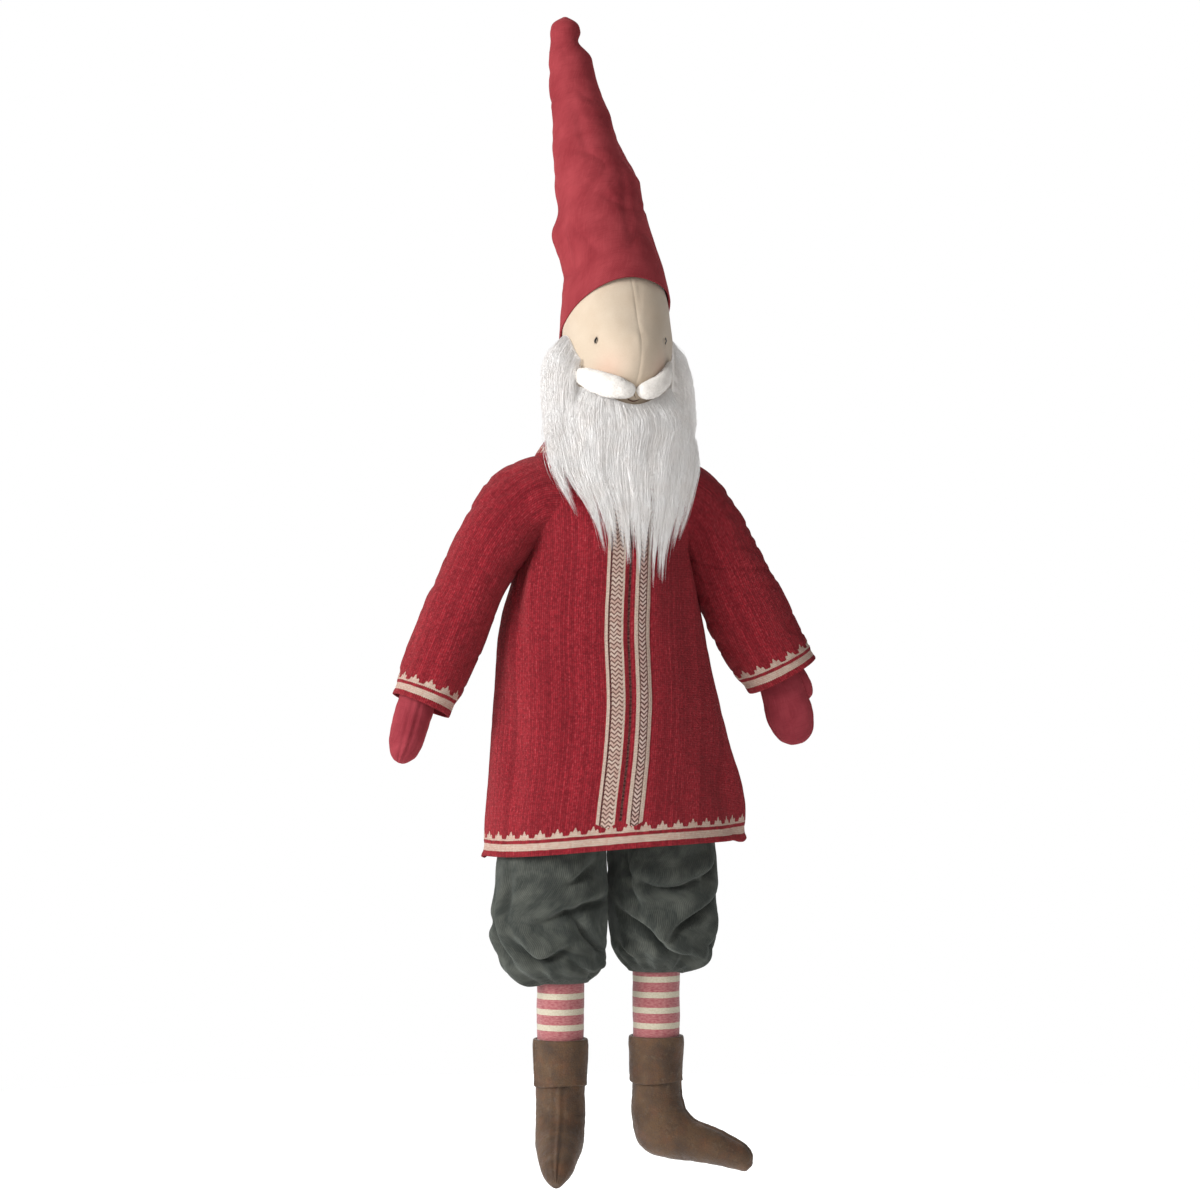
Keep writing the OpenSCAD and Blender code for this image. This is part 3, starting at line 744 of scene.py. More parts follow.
def face_half(side):
    """Half of the head's muslin cover, sewn to the other half down the middle of the face."""
    theta = angles(101, 0, 180, closed=False)
    z = np.linspace(572, 722, 110)
    column = (np.round(100 + side * np.arange(101)) % 200).astype(int)
    p = head_surface(z, angles(200))[:, column]
    degrees, z = np.degrees(theta)[None, :], z[:, None]
    seam = -0.22 * bell(degrees, 0, 0.9) - 0.9 * bell(degrees, 180, 1.8)
    rise = 0.1 * bell(degrees, 3.4, 2.0) * (1 + 0.5 * ripple(p, 7))
    tugs = 0.5 * ripple(stretched(p, 1, 1, 0.35), 6) * bell(degrees, 3, 8)
    dents = 0.7 * ripple(p, 26) + 0.2 * ripple(p, 8)
    socket = -1.3 * bell(degrees, EYES[side], 4) * bell(z, 645.5, 4)
    blush = bell(degrees, 30, 16) * bell(z, 624, 12)
    radial = unit(stretched(p - np.array([2, -6, 0]), 1, 1, 0))
    p = p + radial * (seam + rise + tugs + dents + socket)[..., None]
    if side < 0:
        p, blush = p[:, ::-1], blush[:, ::-1]
    name = SIDE_NAMES[side]
    obj = grid("face_" + name, p, closed=False)
    cheek_blush(obj, blush)
    thicken(obj, 0.9, rim=False)
    dress(obj, "face")
    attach(obj, "head")
    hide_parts("head_cover_" + name)


def stuffing(name, p):
    """A closed lump of filling."""
    return dress(grid(name, p, caps=(True, True)), "fibre")


def stitch_path(points, count):
    """Points evenly spread along a line of a few points."""
    points = np.asarray(points, float)
    run = np.concatenate([[0], np.cumsum(np.linalg.norm(np.diff(points, axis=0), axis=1))])
    return curve(np.column_stack([run, points]), np.linspace(0, run[-1], count))


def eye(side):
    """A few parallel stitches of black thread, slanting a little."""
    middle, lean = EYES[side] * side, 0.8
    paths = []
    for k in range(-2, 3):
        shift, short = k * 0.38, abs(k) * 0.5
        top = head_point(648.4 - short, middle + lean + shift, 0.1)
        mid = head_point(645.6, middle + shift, 0.9)
        low = head_point(642.8 + short, middle - lean + shift, 0.1)
        paths.append(stitch_path([top, mid, low], 9))
    name = "eye_" + SIDE_NAMES[side]
    obj = threads(np.array(paths), np.full(5, 0.38), name + "_stitch", blunt=0.5)
    dress(obj, "black")
    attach(obj, "head")
    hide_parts(name)


def mouth():
    """A short curved stitch, and the two stitches that part the lip above it."""
    lines = [
        [head_point(600.9, -4, 0.9), head_point(599.7, 2.5, 1.2), head_point(600.9, 9.5, 0.9)],
        [head_point(606.2, 0.4, 0.5), head_point(604.4, -1.6, 0.7), head_point(602.0, -4.0, 0.4)],
        [head_point(606.2, 0.4, 0.4), head_point(604.0, 2.0, 0.6), head_point(602.2, 4.4, 0.3)],
    ]
    paths = np.array([stitch_path(line, 12) for line in lines])
    obj = threads(paths, np.array([0.5, 0.42, 0.3]), "mouth_stitches", blunt=0.4)
    dress(obj, "brown")
    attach(obj, "head")
    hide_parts("mouth_stitch")


def seam_thread():
    """The row of small stitches down the middle of the face."""
    paths = []
    for z in np.arange(603.0, 694.0, 3.0):
        ends = [head_point(z, -0.5, -0.8), head_point(z + 1.1, 0.2, -0.3), head_point(z + 2.2, 0.5, -0.8)]
        paths.append(stitch_path(ends, 5))
    obj = threads(np.array(paths), np.full(len(paths), 0.15), "face_seam_thread", blunt=0.5)
    dress(obj, "tan")
    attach(obj, "head")


# Angle from the middle, height, half height of each roll of the moustache.
MOUSTACHE = {
    -1: [
        (1.2, 609.4, 1.5), (4, 609.2, 4.9), (8, 609.0, 6.6), (14, 609.4, 8.0), (22, 610.4, 8.9),
        (36, 612.9, 8.9), (50, 616.2, 7.5), (60, 619.0, 5.2), (68, 621.6, 2.8), (72, 622.8, 0.9),
    ],
    1: [
        (1.2, 609, 1.5), (4, 608.8, 4.6), (8, 608.6, 6.4), (14, 609.4, 7.2), (21, 611.6, 7.4),
        (29, 615.4, 7.0), (37, 620.2, 6.2), (45, 624.8, 4.6), (52, 628.4, 2.6), (57, 630.6, 0.9),
    ],
}


def short_hair(p, normal, along):
    """A loose hair that leaves the roll of points p and its normals."""
    i, j = rng.integers(2, 61), rng.integers(0, p.shape[1])
    start = p[i, j] - normal[i, j] * 0.3
    drift = along[i] * rng.normal(1.2, 1.2) + np.array([0, 0, rng.normal(-0.4, 0.8)])
    tip = start + drift + normal[i, j] * rng.uniform(0.5, 1.5)
    return stitch_path([start, (start + tip) / 2 + normal[i, j] * 0.4, tip], 4)


def long_hair(p, normal):
    """A hair laid along the roll."""
    i, j = rng.integers(3, 58), rng.integers(0, p.shape[1])
    far = min(i + int(rng.integers(3, 9)), 62)
    half = (i + far) // 2
    rise = rng.uniform(0.05, 0.7)
    start, end = p[i, j] - normal[i, j] * 0.25, p[far, j] + normal[far, j] * rise
    mid = p[half, j] + normal[half, j] * rise * 0.6
    return stitch_path([start, mid, end + np.array([0, 0, rng.normal(0, 0.7)])], 4)


def moustache(side):
    """A roll of white felted wool, fat in the middle, with short loose hairs."""
    table = MOUSTACHE[side]
    t = np.linspace(table[0][0], table[-1][0], 64)
    z, half = curve(table, t).T
    middle = np.array([head_point(h, side * a, 0.5 * r + 0.6) for a, h, r in zip(t, z, half)])
    along = heading(middle)
    up = np.array([0, 0, 1.0])
    up = unit(up - along * (along @ up)[:, None])
    out = np.cross(along, up) * -side
    a = np.radians(np.arange(0, 360, 7.5)) * side
    p = tube(middle, out * 0.7 * half[:, None], up * half[:, None], a)
    p = raised(p, 0.5 * ripple(p, 7, side) + 0.18 * ripple(p, 2.2, side))
    name = "moustache_" + SIDE_NAMES[side]
    body = grid(name + "_felt", p, caps=(True, True))
    normal = outward(p)
    hair = [short_hair(p, normal, along) for _ in range(420)]
    hair += [long_hair(p, normal) for _ in range(1300)]
    fluff = threads(np.array(hair), np.full(len(hair), 0.09), name + "_fluff")
    obj = join(name + "_roll", [body, fluff])
    dress(obj, "felt")
    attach(obj, "head")
    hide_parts(name)


# ---- Wool ------------------------------------------------------------------------------------------

HAIR_WAVE = 1.2                     # degrees by which a hair waves at its tip


def combed_base(name, spot, span, top, bottom, width, grooves):
    """The padded sheet of wool under the hair, with grooves down it and thin edges."""
    theta = np.linspace(span[0], span[1], 110)
    share = np.linspace(0, 1, 50)[:, None]
    high, low = level(top, theta), level(bottom, theta)
    z = high + (low - high) * share
    around = np.broadcast_to(theta, z.shape)
    flow = np.stack([around * 0.9, share * 9 + 0 * z, 0 * z], -1)
    groove = (0.35 * ripple(flow, 6.5, width) + 0.2 * ripple(flow, 2.6, width)) * grooves
    edge = np.clip(np.minimum(around - span[0], span[1] - around) / 9, 0, 1) ** 0.5
    fade = np.clip(share * 6, 0, 1) ** 0.6 * np.clip((1 - share) * 3.4, 0.12, 1)
    depth = (0.52 + 0.3 * groove) * fade * edge
    skin = spot(z.ravel(), around.ravel(), depth.ravel()).reshape(*z.shape, 3)
    base = grid(name + "_base", skin[::-1, :], closed=False)
    thicken(base, 2.2)
    return apply_modifiers(base)


def combed_hair(name, spot, span, top, bottom, count, locks, width, fluff, ragged, pinch):
    """Hair in locks that run down the wool and close to points, a tenth of it loose."""
    lock = rng.uniform(span[0] + 2, span[1] - 2, locks)
    lock_tip = rng.normal(0, 11.0, locks)
    lock_bend = rng.normal(0, 7.0, locks)
    of = rng.integers(0, locks, count)
    spread = rng.normal(0, width, count)
    layer = rng.uniform(0.62, 1.0, count)
    root = np.clip(lock[of] + spread, span[0], span[1])
    t = np.linspace(0, 1, 8)[None, :]
    loose = rng.random((count, 1)) < 0.1
    gather = np.where(loose, 1 + 0.2 * t, 1 - pinch * t**1.3)
    down = lock[of][:, None] + spread[:, None] * gather + lock_bend[of][:, None] * t**2
    curl, turn = rng.uniform(3, 8, (count, 1)), rng.uniform(0, 6, (count, 1))
    down = down + HAIR_WAVE * np.sin(t * curl + turn) * t
    down = np.clip(down, span[0] - 3, span[1] + 3)
    start = level(top, root) - rng.uniform(0, 1, count) ** 2 * fluff
    finish = level(bottom, np.clip(lock[of], *span)) + lock_tip[of] + np.abs(rng.normal(0, ragged, count))
    finish = np.minimum(finish, start - 8)
    z = start[:, None] + (finish - start)[:, None] * t
    lift = np.clip(t * 5 + 0.03, 0.0, 1) ** 0.6 * (1 - 0.55 * t**3)
    depth = layer[:, None] * lift * (1 + 0.1 * np.sin(t * 5 + of[:, None]))
    depth = depth + rng.normal(0, 0.05, (count, 1)) * t + 0.03
    paths = spot(z.ravel(), down.ravel(), depth.ravel()).reshape(count, 8, 3)
    return threads(paths, rng.uniform(0.09, 0.24, count), name + "_hair")


def wool_piece(
    name, node, span, top, bottom, inside, thick, count, locks, width,
    fluff=0.0, draw=None, bare=22, grooves=1.0, ragged=9, pinch=0.74,
):
    """Combed wool laid over a surface: a padded base, and locks of hair running down it.

    top and bottom give the height of the roots and tips by angle; inside and thick give the surface
    under the wool and the wool's depth by height; draw, if given, a shift and a scale of the angles.
    The padding ends bare mm above the tips, which end raggedly.
    """
    def spot(z, degrees, depth):
        x, y, wide, deep = curve(inside, z).T
        full = level(thick, z) * depth
        if draw:
            shift, scale = curve(draw, z).T
            degrees = shift + degrees * scale
        a = np.radians(degrees + FACE_TURN * np.clip((z - 560) / 40, 0, 1))
        return np.stack([x + (wide + full) * np.sin(a), y - (deep + full) * np.cos(a), z], -1)

    padding_end = [(degrees, height + bare) for degrees, height in bottom]
    base = combed_base(name, spot, span, top, padding_end, width, grooves)
    hair = combed_hair(name, spot, span, top, bottom, count, locks, width, fluff, ragged, pinch)
    obj = join(name, [base, hair])
    dress(obj, "wool")
    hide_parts(node)
    return obj


# What the side and back hair lies on: height, x shift, y shift, half width, half depth.
UNDER_HAIR = [
    (548, 8, -2, 41, 42), (563, 9, -3, 40, 42), (578, 9, -4, 39, 40), (590, 8, -6, 39, 40),
    (602, 6.5, -8, 40.5, 44), (620, 6, -8, 42, 47), (634, 5.8, -7, 42.6, 48), (648, 6, -6, 42.7, 48),
    (656, 6, -5, 42.5, 47),
]


def beard():
    """The long beard over the chest."""
    obj = wool_piece(
        "beard_wool", "beard", (-100, 100),
        top=[
            (-100, 606), (-60, 610), (-45, 606), (-22, 600), (-10, 597), (0, 596), (10, 597), (22, 600),
            (45, 606), (60, 610), (100, 606),
        ],
        bottom=[
            (-100, 545), (-88, 532), (-75, 514), (-60, 500), (-40, 489), (-20, 480), (0, 478), (20, 474),
            (40, 479), (60, 486), (75, 500), (88, 515), (100, 530),
        ],
        inside=[
            (460, 0, 0, 72, 59), (485, 0, 0, 68, 57), (500, 0, 0, 69, 56), (514, 0, 0, 71, 54.5),
            (530, 0, 0, 69, 52.5), (547, 1, 0, 64, 50), (563, 2, 0, 54, 49), (578, 4, -2, 46, 49),
            (590, 3.5, -5, 42, 47), (602, 2, -8, 41, 48), (612, 3, -8, 43, 50),
        ],
        thick=[
            (460, 3), (485, 5), (500, 6.5), (514, 9), (530, 11), (547, 13), (563, 15), (578, 15.5),
            (590, 13.5), (602, 10), (612, 6),
        ],
        draw=[
            (460, 7, 0.3), (485, 7, 0.35), (501, 6.5, 0.39), (516, 6, 0.43), (533, 4, 0.5), (548, 3, 0.58),
            (563, 3, 0.68), (582, 2, 0.9), (596, 0, 1),
        ],
        count=4600, locks=58, width=6.2, bare=58, ragged=19, pinch=0.82,
    )
    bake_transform(obj)


def side_hair(name):
    """The hair beside the face, from under the hat down to the shoulder."""
    obj = wool_piece(
        "side_hair_" + name, "whiskers_" + name, sorted((SIDES[name] * 64, SIDES[name] * 128)),
        top=[
            (-128, 640), (-100, 650), (-84, 650), (-64, 632), (64, 632), (84, 650), (100, 650), (128, 640),
        ],
        bottom=[(-128, 568), (-90, 552), (-64, 552), (64, 552), (90, 552), (128, 568)],
        inside=UNDER_HAIR,
        thick=[
            (548, 11), (563, 17), (578, 20), (590, 19.5), (602, 18), (615, 16.5), (628, 14.8), (640, 12.5),
            (648, 8.5), (656, 3),
        ],
        count=2800, locks=90, width=6.0, fluff=46, grooves=0.4,
    )
    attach(obj, "head")


def back_hair():
    """The hair behind the head, which lies flatter."""
    obj = wool_piece(
        "back_hair", "hair_back", (122, 238),
        top=[(122, 636), (150, 634), (180, 632), (210, 634), (238, 636)],
        bottom=[(122, 574), (180, 572), (238, 574)],
        inside=[(z, x, y, wide, deep - 6) for z, x, y, wide, deep in UNDER_HAIR],
        thick=[(560, 9), (575, 13), (590, 14), (605, 12), (620, 9), (634, 5), (640, 3)],
        count=2600, locks=90, width=5.0, fluff=30,
    )
    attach(obj, "head")


def build_wool():
    beard()
    for name in SIDES:
        side_hair(name)
    back_hair()


# ---- Hat -------------------------------------------------------------------------------------------

# Height, x shift, y shift, half width, half depth in front and behind.
HAT = [
    (610, 6.3, -3, 45, 46.5, 45.5), (650, 6.5, -3, 44.4, 46, 44.5), (680, 6.6, -1.5, 42.6, 43.5, 43),
    (703, 5.2, 0, 39.4, 39.5, 39.5), (727, -1.8, 2, 38.4, 37.5, 38), (750, -4.3, 3.5, 34.6, 34, 34),
    (773, -7.1, 5, 32.6, 31, 31), (797, -13.6, 7, 27.8, 27, 27), (820, -17.8, 8, 23.6, 23.5, 23.5),
    (843, -23, 10, 20.8, 20.4, 20.4), (867, -27, 11, 16.4, 16, 16), (881, -30.6, 11.8, 11.6, 12, 12),
    (890, -30.4, 12, 12.0, 11.8, 11.8), (897, -30.4, 12, 8.4, 8.2, 8.2), (901, -30.4, 12, 1.2, 1.2, 1.2),
]


def hat_brim(theta):
    """Height of the hat's edge: high over the brow, low behind."""
    return 660.5 + 34.5 * np.cos(theta - math.radians(4)) + 8 * bell(theta, math.radians(82), 0.6)


def hat_wrinkles(p, z, degrees, brim):
    """How far the hat's cloth stands out or sinks in: notches at its outline, dents, slack and its seam."""
    left, right = bell(degrees, -107, 40), bell(degrees, 73, 40)
    notch = right * (1.6 * bell(z, 870, 6) - 1.2 * bell(z, 882, 4) + 1.0 * bell(z, 776, 9))
    notch += left * (-0.8 * bell(z, 752, 8) + 1.2 * bell(z, 730, 8))
    notch += 1.6 * bell(degrees, -100, 12) * bell(z, 728, 18) - 2.6 * bell(degrees, -74, 8) * bell(z, 722, 20)
    notch += -1.6 * bell(degrees, 22 + (z - 760) * 0.2, 9) * bell(z, 752, 26)
    notch += -1.4 * bell(degrees, -20 - (z - 800) * 0.2, 12) * bell(z, 806, 22)
    slack = 1.25 * ripple(stretched(p, 1, 1, 0.8), 30, 3.1) + 0.45 * ripple(stretched(p, 1, 1, 1.8), 21, 7.7)
    folds = -0.9 * np.clip(creases(stretched(p, 0.8, 0.8, 1.3), 38, 11.3) - 0.55, 0, 1) / 0.45
    crumple = 0.22 * ripple(stretched(p, 1, 1, 1.4), 7, 5.0) * (1 + ripple(p, 40, 2.0))
    fade = np.clip((z - brim) / 30, 0, 1) * np.clip((900 - z) / 25, 0.15, 1)
    # The long seam runs up the back.
    seam = -0.9 * (bell(degrees, 172, 2.4) + bell(degrees, -188, 2.4)) + 0.4 * bell(degrees, 166, 3)
    return (slack + folds + crumple) * fade + notch + seam


def hat_surface(inset=0.0, wrinkled=True, start=0.0):
    """Points of the hat from its edge, or from a share of its height, to its tip."""
    theta = angles(240)
    share = np.linspace(start, 1, 230)[:, None]
    brim = hat_brim(theta)[None, :]
    z = brim + (900.8 - brim) * share
    x, y, wide, front, back = np.moveaxis(curve(HAT, z), -1, 0)
    c = np.cos(theta)[None, :]
    deep = np.where(c > 0, front, back)
    p = np.stack([x + (wide - inset) * np.sin(theta)[None, :], y - (deep - inset) * c, z - inset * share], -1)
    return raised(p, hat_wrinkles(p, z, np.degrees(theta)[None, :], brim)) if wrinkled else p


def hat():
    """The tall linen cone, with its edge turned in."""
    p = hat_surface()
    away = unit(stretched(p[0] - p[0].mean(0), 1, 1, 0))
    turned_in = [
        p[0] - away * inward + np.array([0, 0, drop])
        for drop, inward in ((3.4, 1.9), (1.6, 2.1), (0.3, 1.5), (-0.35, 0.8))
    ]
    obj = grid("hat", np.concatenate([np.array(turned_in), p]), caps=(False, True))
    thicken(obj, 0.8)
    dress(obj, "hat")
    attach(obj, "head")
    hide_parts("hat_cone")


def build_head():
    """The head's two halves, face, hat and filling."""
    for side in (1, -1):
        face_half(side)
        eye(side)
        moustache(side)
    mouth()
    seam_thread()
    hat()
    in_head = head_surface(np.linspace(573, 721, 40), angles(96), -2.2)
    in_hat = hat_surface(inset=5.5, wrinkled=False, start=0.32)[::4, ::3]
    for name, node, points in (("head_filling", "head_fill", in_head), ("hat_filling", "hat_fill", in_hat)):
        fill = stuffing(name, points)
        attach(fill, "head")
        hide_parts(node)


# ---- Coat ------------------------------------------------------------------------------------------

# Height, leftward shift, half width, half depth.
COAT = [
    (247, 6, 103, 72), (290, 5, 101, 70), (329, 3, 96, 67), (368, 0, 90, 64), (391, -2, 86, 62),
    (420, -4, 82, 60), (446, -4, 76.5, 58), (468, -3, 70, 56), (490, -1, 65, 53), (510, 0, 71, 49.5),
    (530, 0, 69, 47.5), (546, 0, 64, 46), (556, 0, 58, 44), (566, 0, 52, 41), (573, 0, 47, 38),
]
# Angle by which the front's middle line drifts round the body, by height.
DRIFT = [(247, -10.5), (263, -10), (290, -8), (330, -4), (368, -0.5), (420, 2), (477, 4), (530, 3), (573, 0)]
COAT_TOP = 573


def hem_height(theta):
    """The coat's hem, which hangs higher on one side and waves a little."""
    return 254.5 + 6 * np.sin(theta) + 1.2 * np.cos(theta) + 0.8 * np.sin(3 * theta + 1)


def coat_drape(p, z, degrees):
    """The coat's loose waves, the folds that fan down from the armpits, and the hollows below them."""
    drape = 2.6 * ripple(stretched(p, 1, 1, 0.22), 42, 1.7) * np.clip((470 - z) / 220, 0, 1)
    drape += 1.3 * ripple(stretched(p, 1, 1, 0.5), 26, 4.1)
    fan = np.abs(degrees) - 68 - (z - 480) * 0.22
    drape += 2.0 * bell(fan, 0, 6) * bell(z, 452, 42) - 1.8 * bell(fan, 12, 6) * bell(z, 446, 40)
    drape += -5.0 * bell(degrees, 52 + (300 - z) * 0.35, 12) * bell(z, 296, 44)
    drape += 3.6 * bell(degrees, 74 + (300 - z) * 0.3, 12) * bell(z, 292, 46)
    return drape - 2.0 * bell(degrees, -64, 9) * bell(z, 330, 60)


def coat_surface():
    """Points of the coat from hem to neck, and their height above the hem."""
    theta = angles(336)
    share = np.linspace(0, 1, 190)[:, None]
    hem = hem_height(theta)[None, :]
    z = hem + (COAT_TOP - hem) * share
    drift = np.radians(level(DRIFT, z))
    x, wide, deep = np.moveaxis(curve(COAT, z), -1, 0)
    a = theta[None, :] + drift
    p = np.stack([x + wide * np.sin(a), -deep * np.cos(a), z], -1)
    around, above = np.degrees(theta)[None, :], z - hem
    # The front's bands: a sunk middle line, and an edge line on either side.
    u = theta[None, :] * wide * 0.86
    line = -0.9 * bell(u, 0, 1.6) - 0.7 * bell(np.abs(u), 15.7, 1.2) + 0.5 * bell(np.abs(u), 10, 6)
    ridge = 0.8 * bell(above, 1.2, 2.2) - 0.5 * bell(above, 8.5, 2.2)
    curl = 2.2 * bell(above, -1, 3.0) * bell(np.abs(around), 100, 16)
    drape = coat_drape(p, z, np.degrees(a)) + 0.35 * ripple(p, 9, 9.0)
    top = np.clip((COAT_TOP - z) / 12, 0.2, 1)
    p = raised(p, drape * top + line * np.clip(above / 15, 0, 1) + ridge + curl)
    # The hem's corners at the two side seams droop and roll.
    corner = bell(around, -98, 7) + bell(around, 82, 7)
    p[..., 2] -= 2.6 * corner * bell(above, 0, 4)
    return p, above


def coat():
    """One knitted pullover from neck to hem."""
    p, height = coat_surface()
    run = lengths(ringed(p), 1)
    count = p.shape[1]
    place = np.arange(count + 1)[None, :]
    # The map runs from the front's middle, and behind from the back's, in two halves.
    front = run - run[:, [count // 2]]
    behind = np.where(place <= count // 2, run, run - run[:, [-1]]) + 1000
    is_front = (place[:, :-1] >= count // 4) & (place[:, :-1] < 3 * (count // 4))
    start = np.where(is_front, front[:, :-1], behind[:, :-1])
    end = np.where(is_front, front[:, 1:], behind[:, 1:])
    obj = grid("coat", p, start=start, end=end, height=ringed(height[..., None])[..., 0])
    thicken(obj, 1.9)
    dress(obj, "coat")
    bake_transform(obj)
    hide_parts("coat_body", "coat_skirt")


# Outline of each sleeve seen from the front: outer point, inner point, half depth, from armhole to cuff.
SLEEVE = {
    "left": [
        (26, 552, 30, 496, 37), (40, 557, 43, 491, 36.5), (51, 558, 50, 489.5, 35.5),
        (62, 556.5, 55, 489, 34.5), (76, 550.5, 59, 484, 32.5), (89, 541, 62, 477, 31.5),
        (99.5, 528, 64, 470, 30.5), (108, 516, 66, 464, 29.5),
        (115, 504.5, 68.5, 458, 28.5), (122, 492, 71.5, 451, 28), (134, 470, 78, 436, 27),
        (147.5, 447, 88, 416, 26), (159, 425, 99, 397, 25.5), (167, 409, 110.5, 382, 25),
        (170.6, 401, 119, 373, 24.5),
    ],
    "right": [
        (26, 552, 30, 496, 37), (40, 557, 43, 491, 36.5), (51, 558, 51, 489.5, 35.5),
        (64, 556.5, 57, 489, 34.5), (79, 551, 62, 483, 33),
        (92.5, 540.5, 66, 477, 32.5), (102.5, 528, 70, 471, 32), (110, 516, 74, 466, 32),
        (117, 504.5, 78, 460, 32), (123, 492.5, 82, 454, 32), (133, 470, 88.5, 442, 32),
        (144, 447, 96, 424, 32), (156, 420, 105, 401, 32), (164.5, 396, 116, 378, 31),
        (170, 375, 129, 356, 30),
    ],
}


def sleeve_surface(name):
    """Points of a sleeve from cuff to armhole, and their distance from the cuff's edge."""
    side = SIDES[name]
    outer_x, outer_z, inner_x, inner_z, deep = along_rows(SLEEVE[name], 150)
    outer = np.stack([side * outer_x, 0 * outer_x, outer_z], -1)
    inner = np.stack([side * inner_x, 0 * inner_x, inner_z], -1)
    reach = (outer - inner) / 2
    p = tube((outer + inner) / 2, reach * side, deep[:, None] * FORWARD, angles(116))[::-1]
    from_cuff = lengths(p, 0).mean(1)[:, None]
    slack = np.clip((from_cuff.max() - from_cuff) / 50, 0, 1)
    folds = 1.1 * ripple(p, 30, side * 3.3) + 0.35 * ripple(stretched(p, 1, 1, 1.6), 13, side * 1.9)
    folds -= 1.2 * np.clip(creases(stretched(p, 0.6, 0.6, 1.7), 24, side * 5.1) - 0.6, 0, 1) / 0.4
    edge = 0.9 * bell(from_cuff, 1.0, 2.2) - 0.5 * bell(from_cuff, 8.5, 2.2)
    return raised(p, folds * slack * np.clip(from_cuff / 14, 0.25, 1) + edge), from_cuff


def sleeve(name):
    """A knitted sleeve that bends across the shoulder, with its border knitted level with the cuff."""
    p, from_cuff = sleeve_surface(name)
    run = lengths(ringed(p), 1)
    run = run - run[:, [run.shape[1] // 2]]
    height = np.repeat(from_cuff, run.shape[1], 1)
    obj = grid("sleeve_knit_" + name, p, start=run[:, :-1], end=run[:, 1:], height=height)
    thicken(obj, 1.8)
    dress(obj, "sleeve")
    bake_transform(obj)
    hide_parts("sleeve_" + name)


# ---- Mittens ---------------------------------------------------------------------------------------

# Along the hand: x and z of its middle, half width across the palm, half thickness.
HAND = {
    "left": [
        (136, 404, 9, 7), (140, 392, 14.5, 9.5), (144.5, 378, 16.6, 10.5), (148.5, 365, 17.2, 11),
        (152, 353, 17.3, 10.8), (154.8, 343.5, 15.2, 9.6), (156.3, 337, 11, 7.4), (157, 333.2, 5.4, 4),
        (157.2, 332.2, 1, 0.8),
    ],
    "right": [
        (-146, 392, 9, 9.5), (-150, 380, 13.5, 13), (-153.5, 367, 15.5, 14), (-157, 354.5, 16.5, 14.2),
        (-160.3, 343, 16.5, 13.8), (-163.3, 333, 14.5, 12), (-165.6, 326.5, 10.5, 8.8),
        (-167, 322.6, 5.5, 4.6), (-167.4, 321.6, 1, 0.8),
    ],
}
# Which way the palm lies across: the left hand is seen flat, the right one edge-on.
PALM = {"left": np.array([0.96, -0.28, 0.0]), "right": np.array([0.22, 0.97, 0.0])}
HAND_Y = {"left": 0, "right": -1}
# Along the thumb: its middle and its radius.
THUMB = {
    "left": [
        (156, 0, 392, 5.5), (160, -1, 384, 6.2), (163.5, -1, 377, 6.0), (165.3, -1, 371.5, 4.6),
        (166.2, -1, 368, 1.0),
    ],
    "right": [
        (-152, 8, 377, 5.5), (-154, 13, 369, 6.0), (-156, 16, 361, 5.8), (-157, 17.5, 355, 4.4),
        (-157.5, 18, 351.5, 1.0),
    ],
}


def mitten_thumb(name):
    """The thumb, a small stuffed tube with round ends."""
    x, y, z, radius = along_rows(THUMB[name], 26)
    radius = np.maximum(radius, 0.1)[:, None]
    line = np.stack([x, y, z], -1)
    way = heading(line)
    one = unit(np.cross(way, -FORWARD))
    p = tube(line, np.cross(way, one) * radius, one * radius, angles(40))
    return grid("mitten_thumb_" + name, raised(p, 0.3 * ripple(p, 5)), caps=(True, True))


def mitten(name):
    """A flat stuffed mitten of linen, sewn round its edge, with its thumb."""
    x, z, wide, deep = along_rows(HAND[name], 70)
    middle = np.stack([x, 0 * x + HAND_Y[name], z], -1)
    along = heading(middle)
    across = unit(PALM[name] - along * (along @ PALM[name])[:, None])
    flat = np.cross(across, along) * np.maximum(deep, 0.1)[:, None]
    a = angles(88)
    p = tube(middle, across * np.maximum(wide, 0.1)[:, None], flat, a, roundness=0.9)
    from_edge = np.abs(np.abs(np.degrees(a)) - 90)[None, :]
    ridge = 0.9 * bell(from_edge, 0, 5) - 0.5 * bell(from_edge, 11, 5)
    soft = 0.9 * ripple(p, 17, 2.2) + 0.4 * ripple(p, 6, 8.8)
    p = raised(p, (ridge + soft) * np.clip(wide / 12, 0.05, 1)[:, None])[::-1]
    hand = grid("mitten_body_" + name, p, caps=(True, True))
    obj = join("mitten_linen_" + name, [hand, mitten_thumb(name)])
    dress(obj, "mitten")
    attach(obj, "arm_" + name)
    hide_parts("mitten_" + name)


# Along the arm from the shoulder: x and z of its middle, radius.
ARM = {
    "left": [
        (72, 524, 11), (80, 512, 14.5), (90, 490, 15), (104, 458, 14), (120, 425, 12), (134, 400, 9.6),
        (140, 388, 8.4), (144, 376, 8.4),
    ],
    "right": [
        (72, 524, 11), (81, 512, 14.5), (92, 490, 15), (108, 458, 14), (126, 422, 12), (143, 392, 9.6),
        (149, 379, 8.8), (152, 368, 8.6),
    ],
}


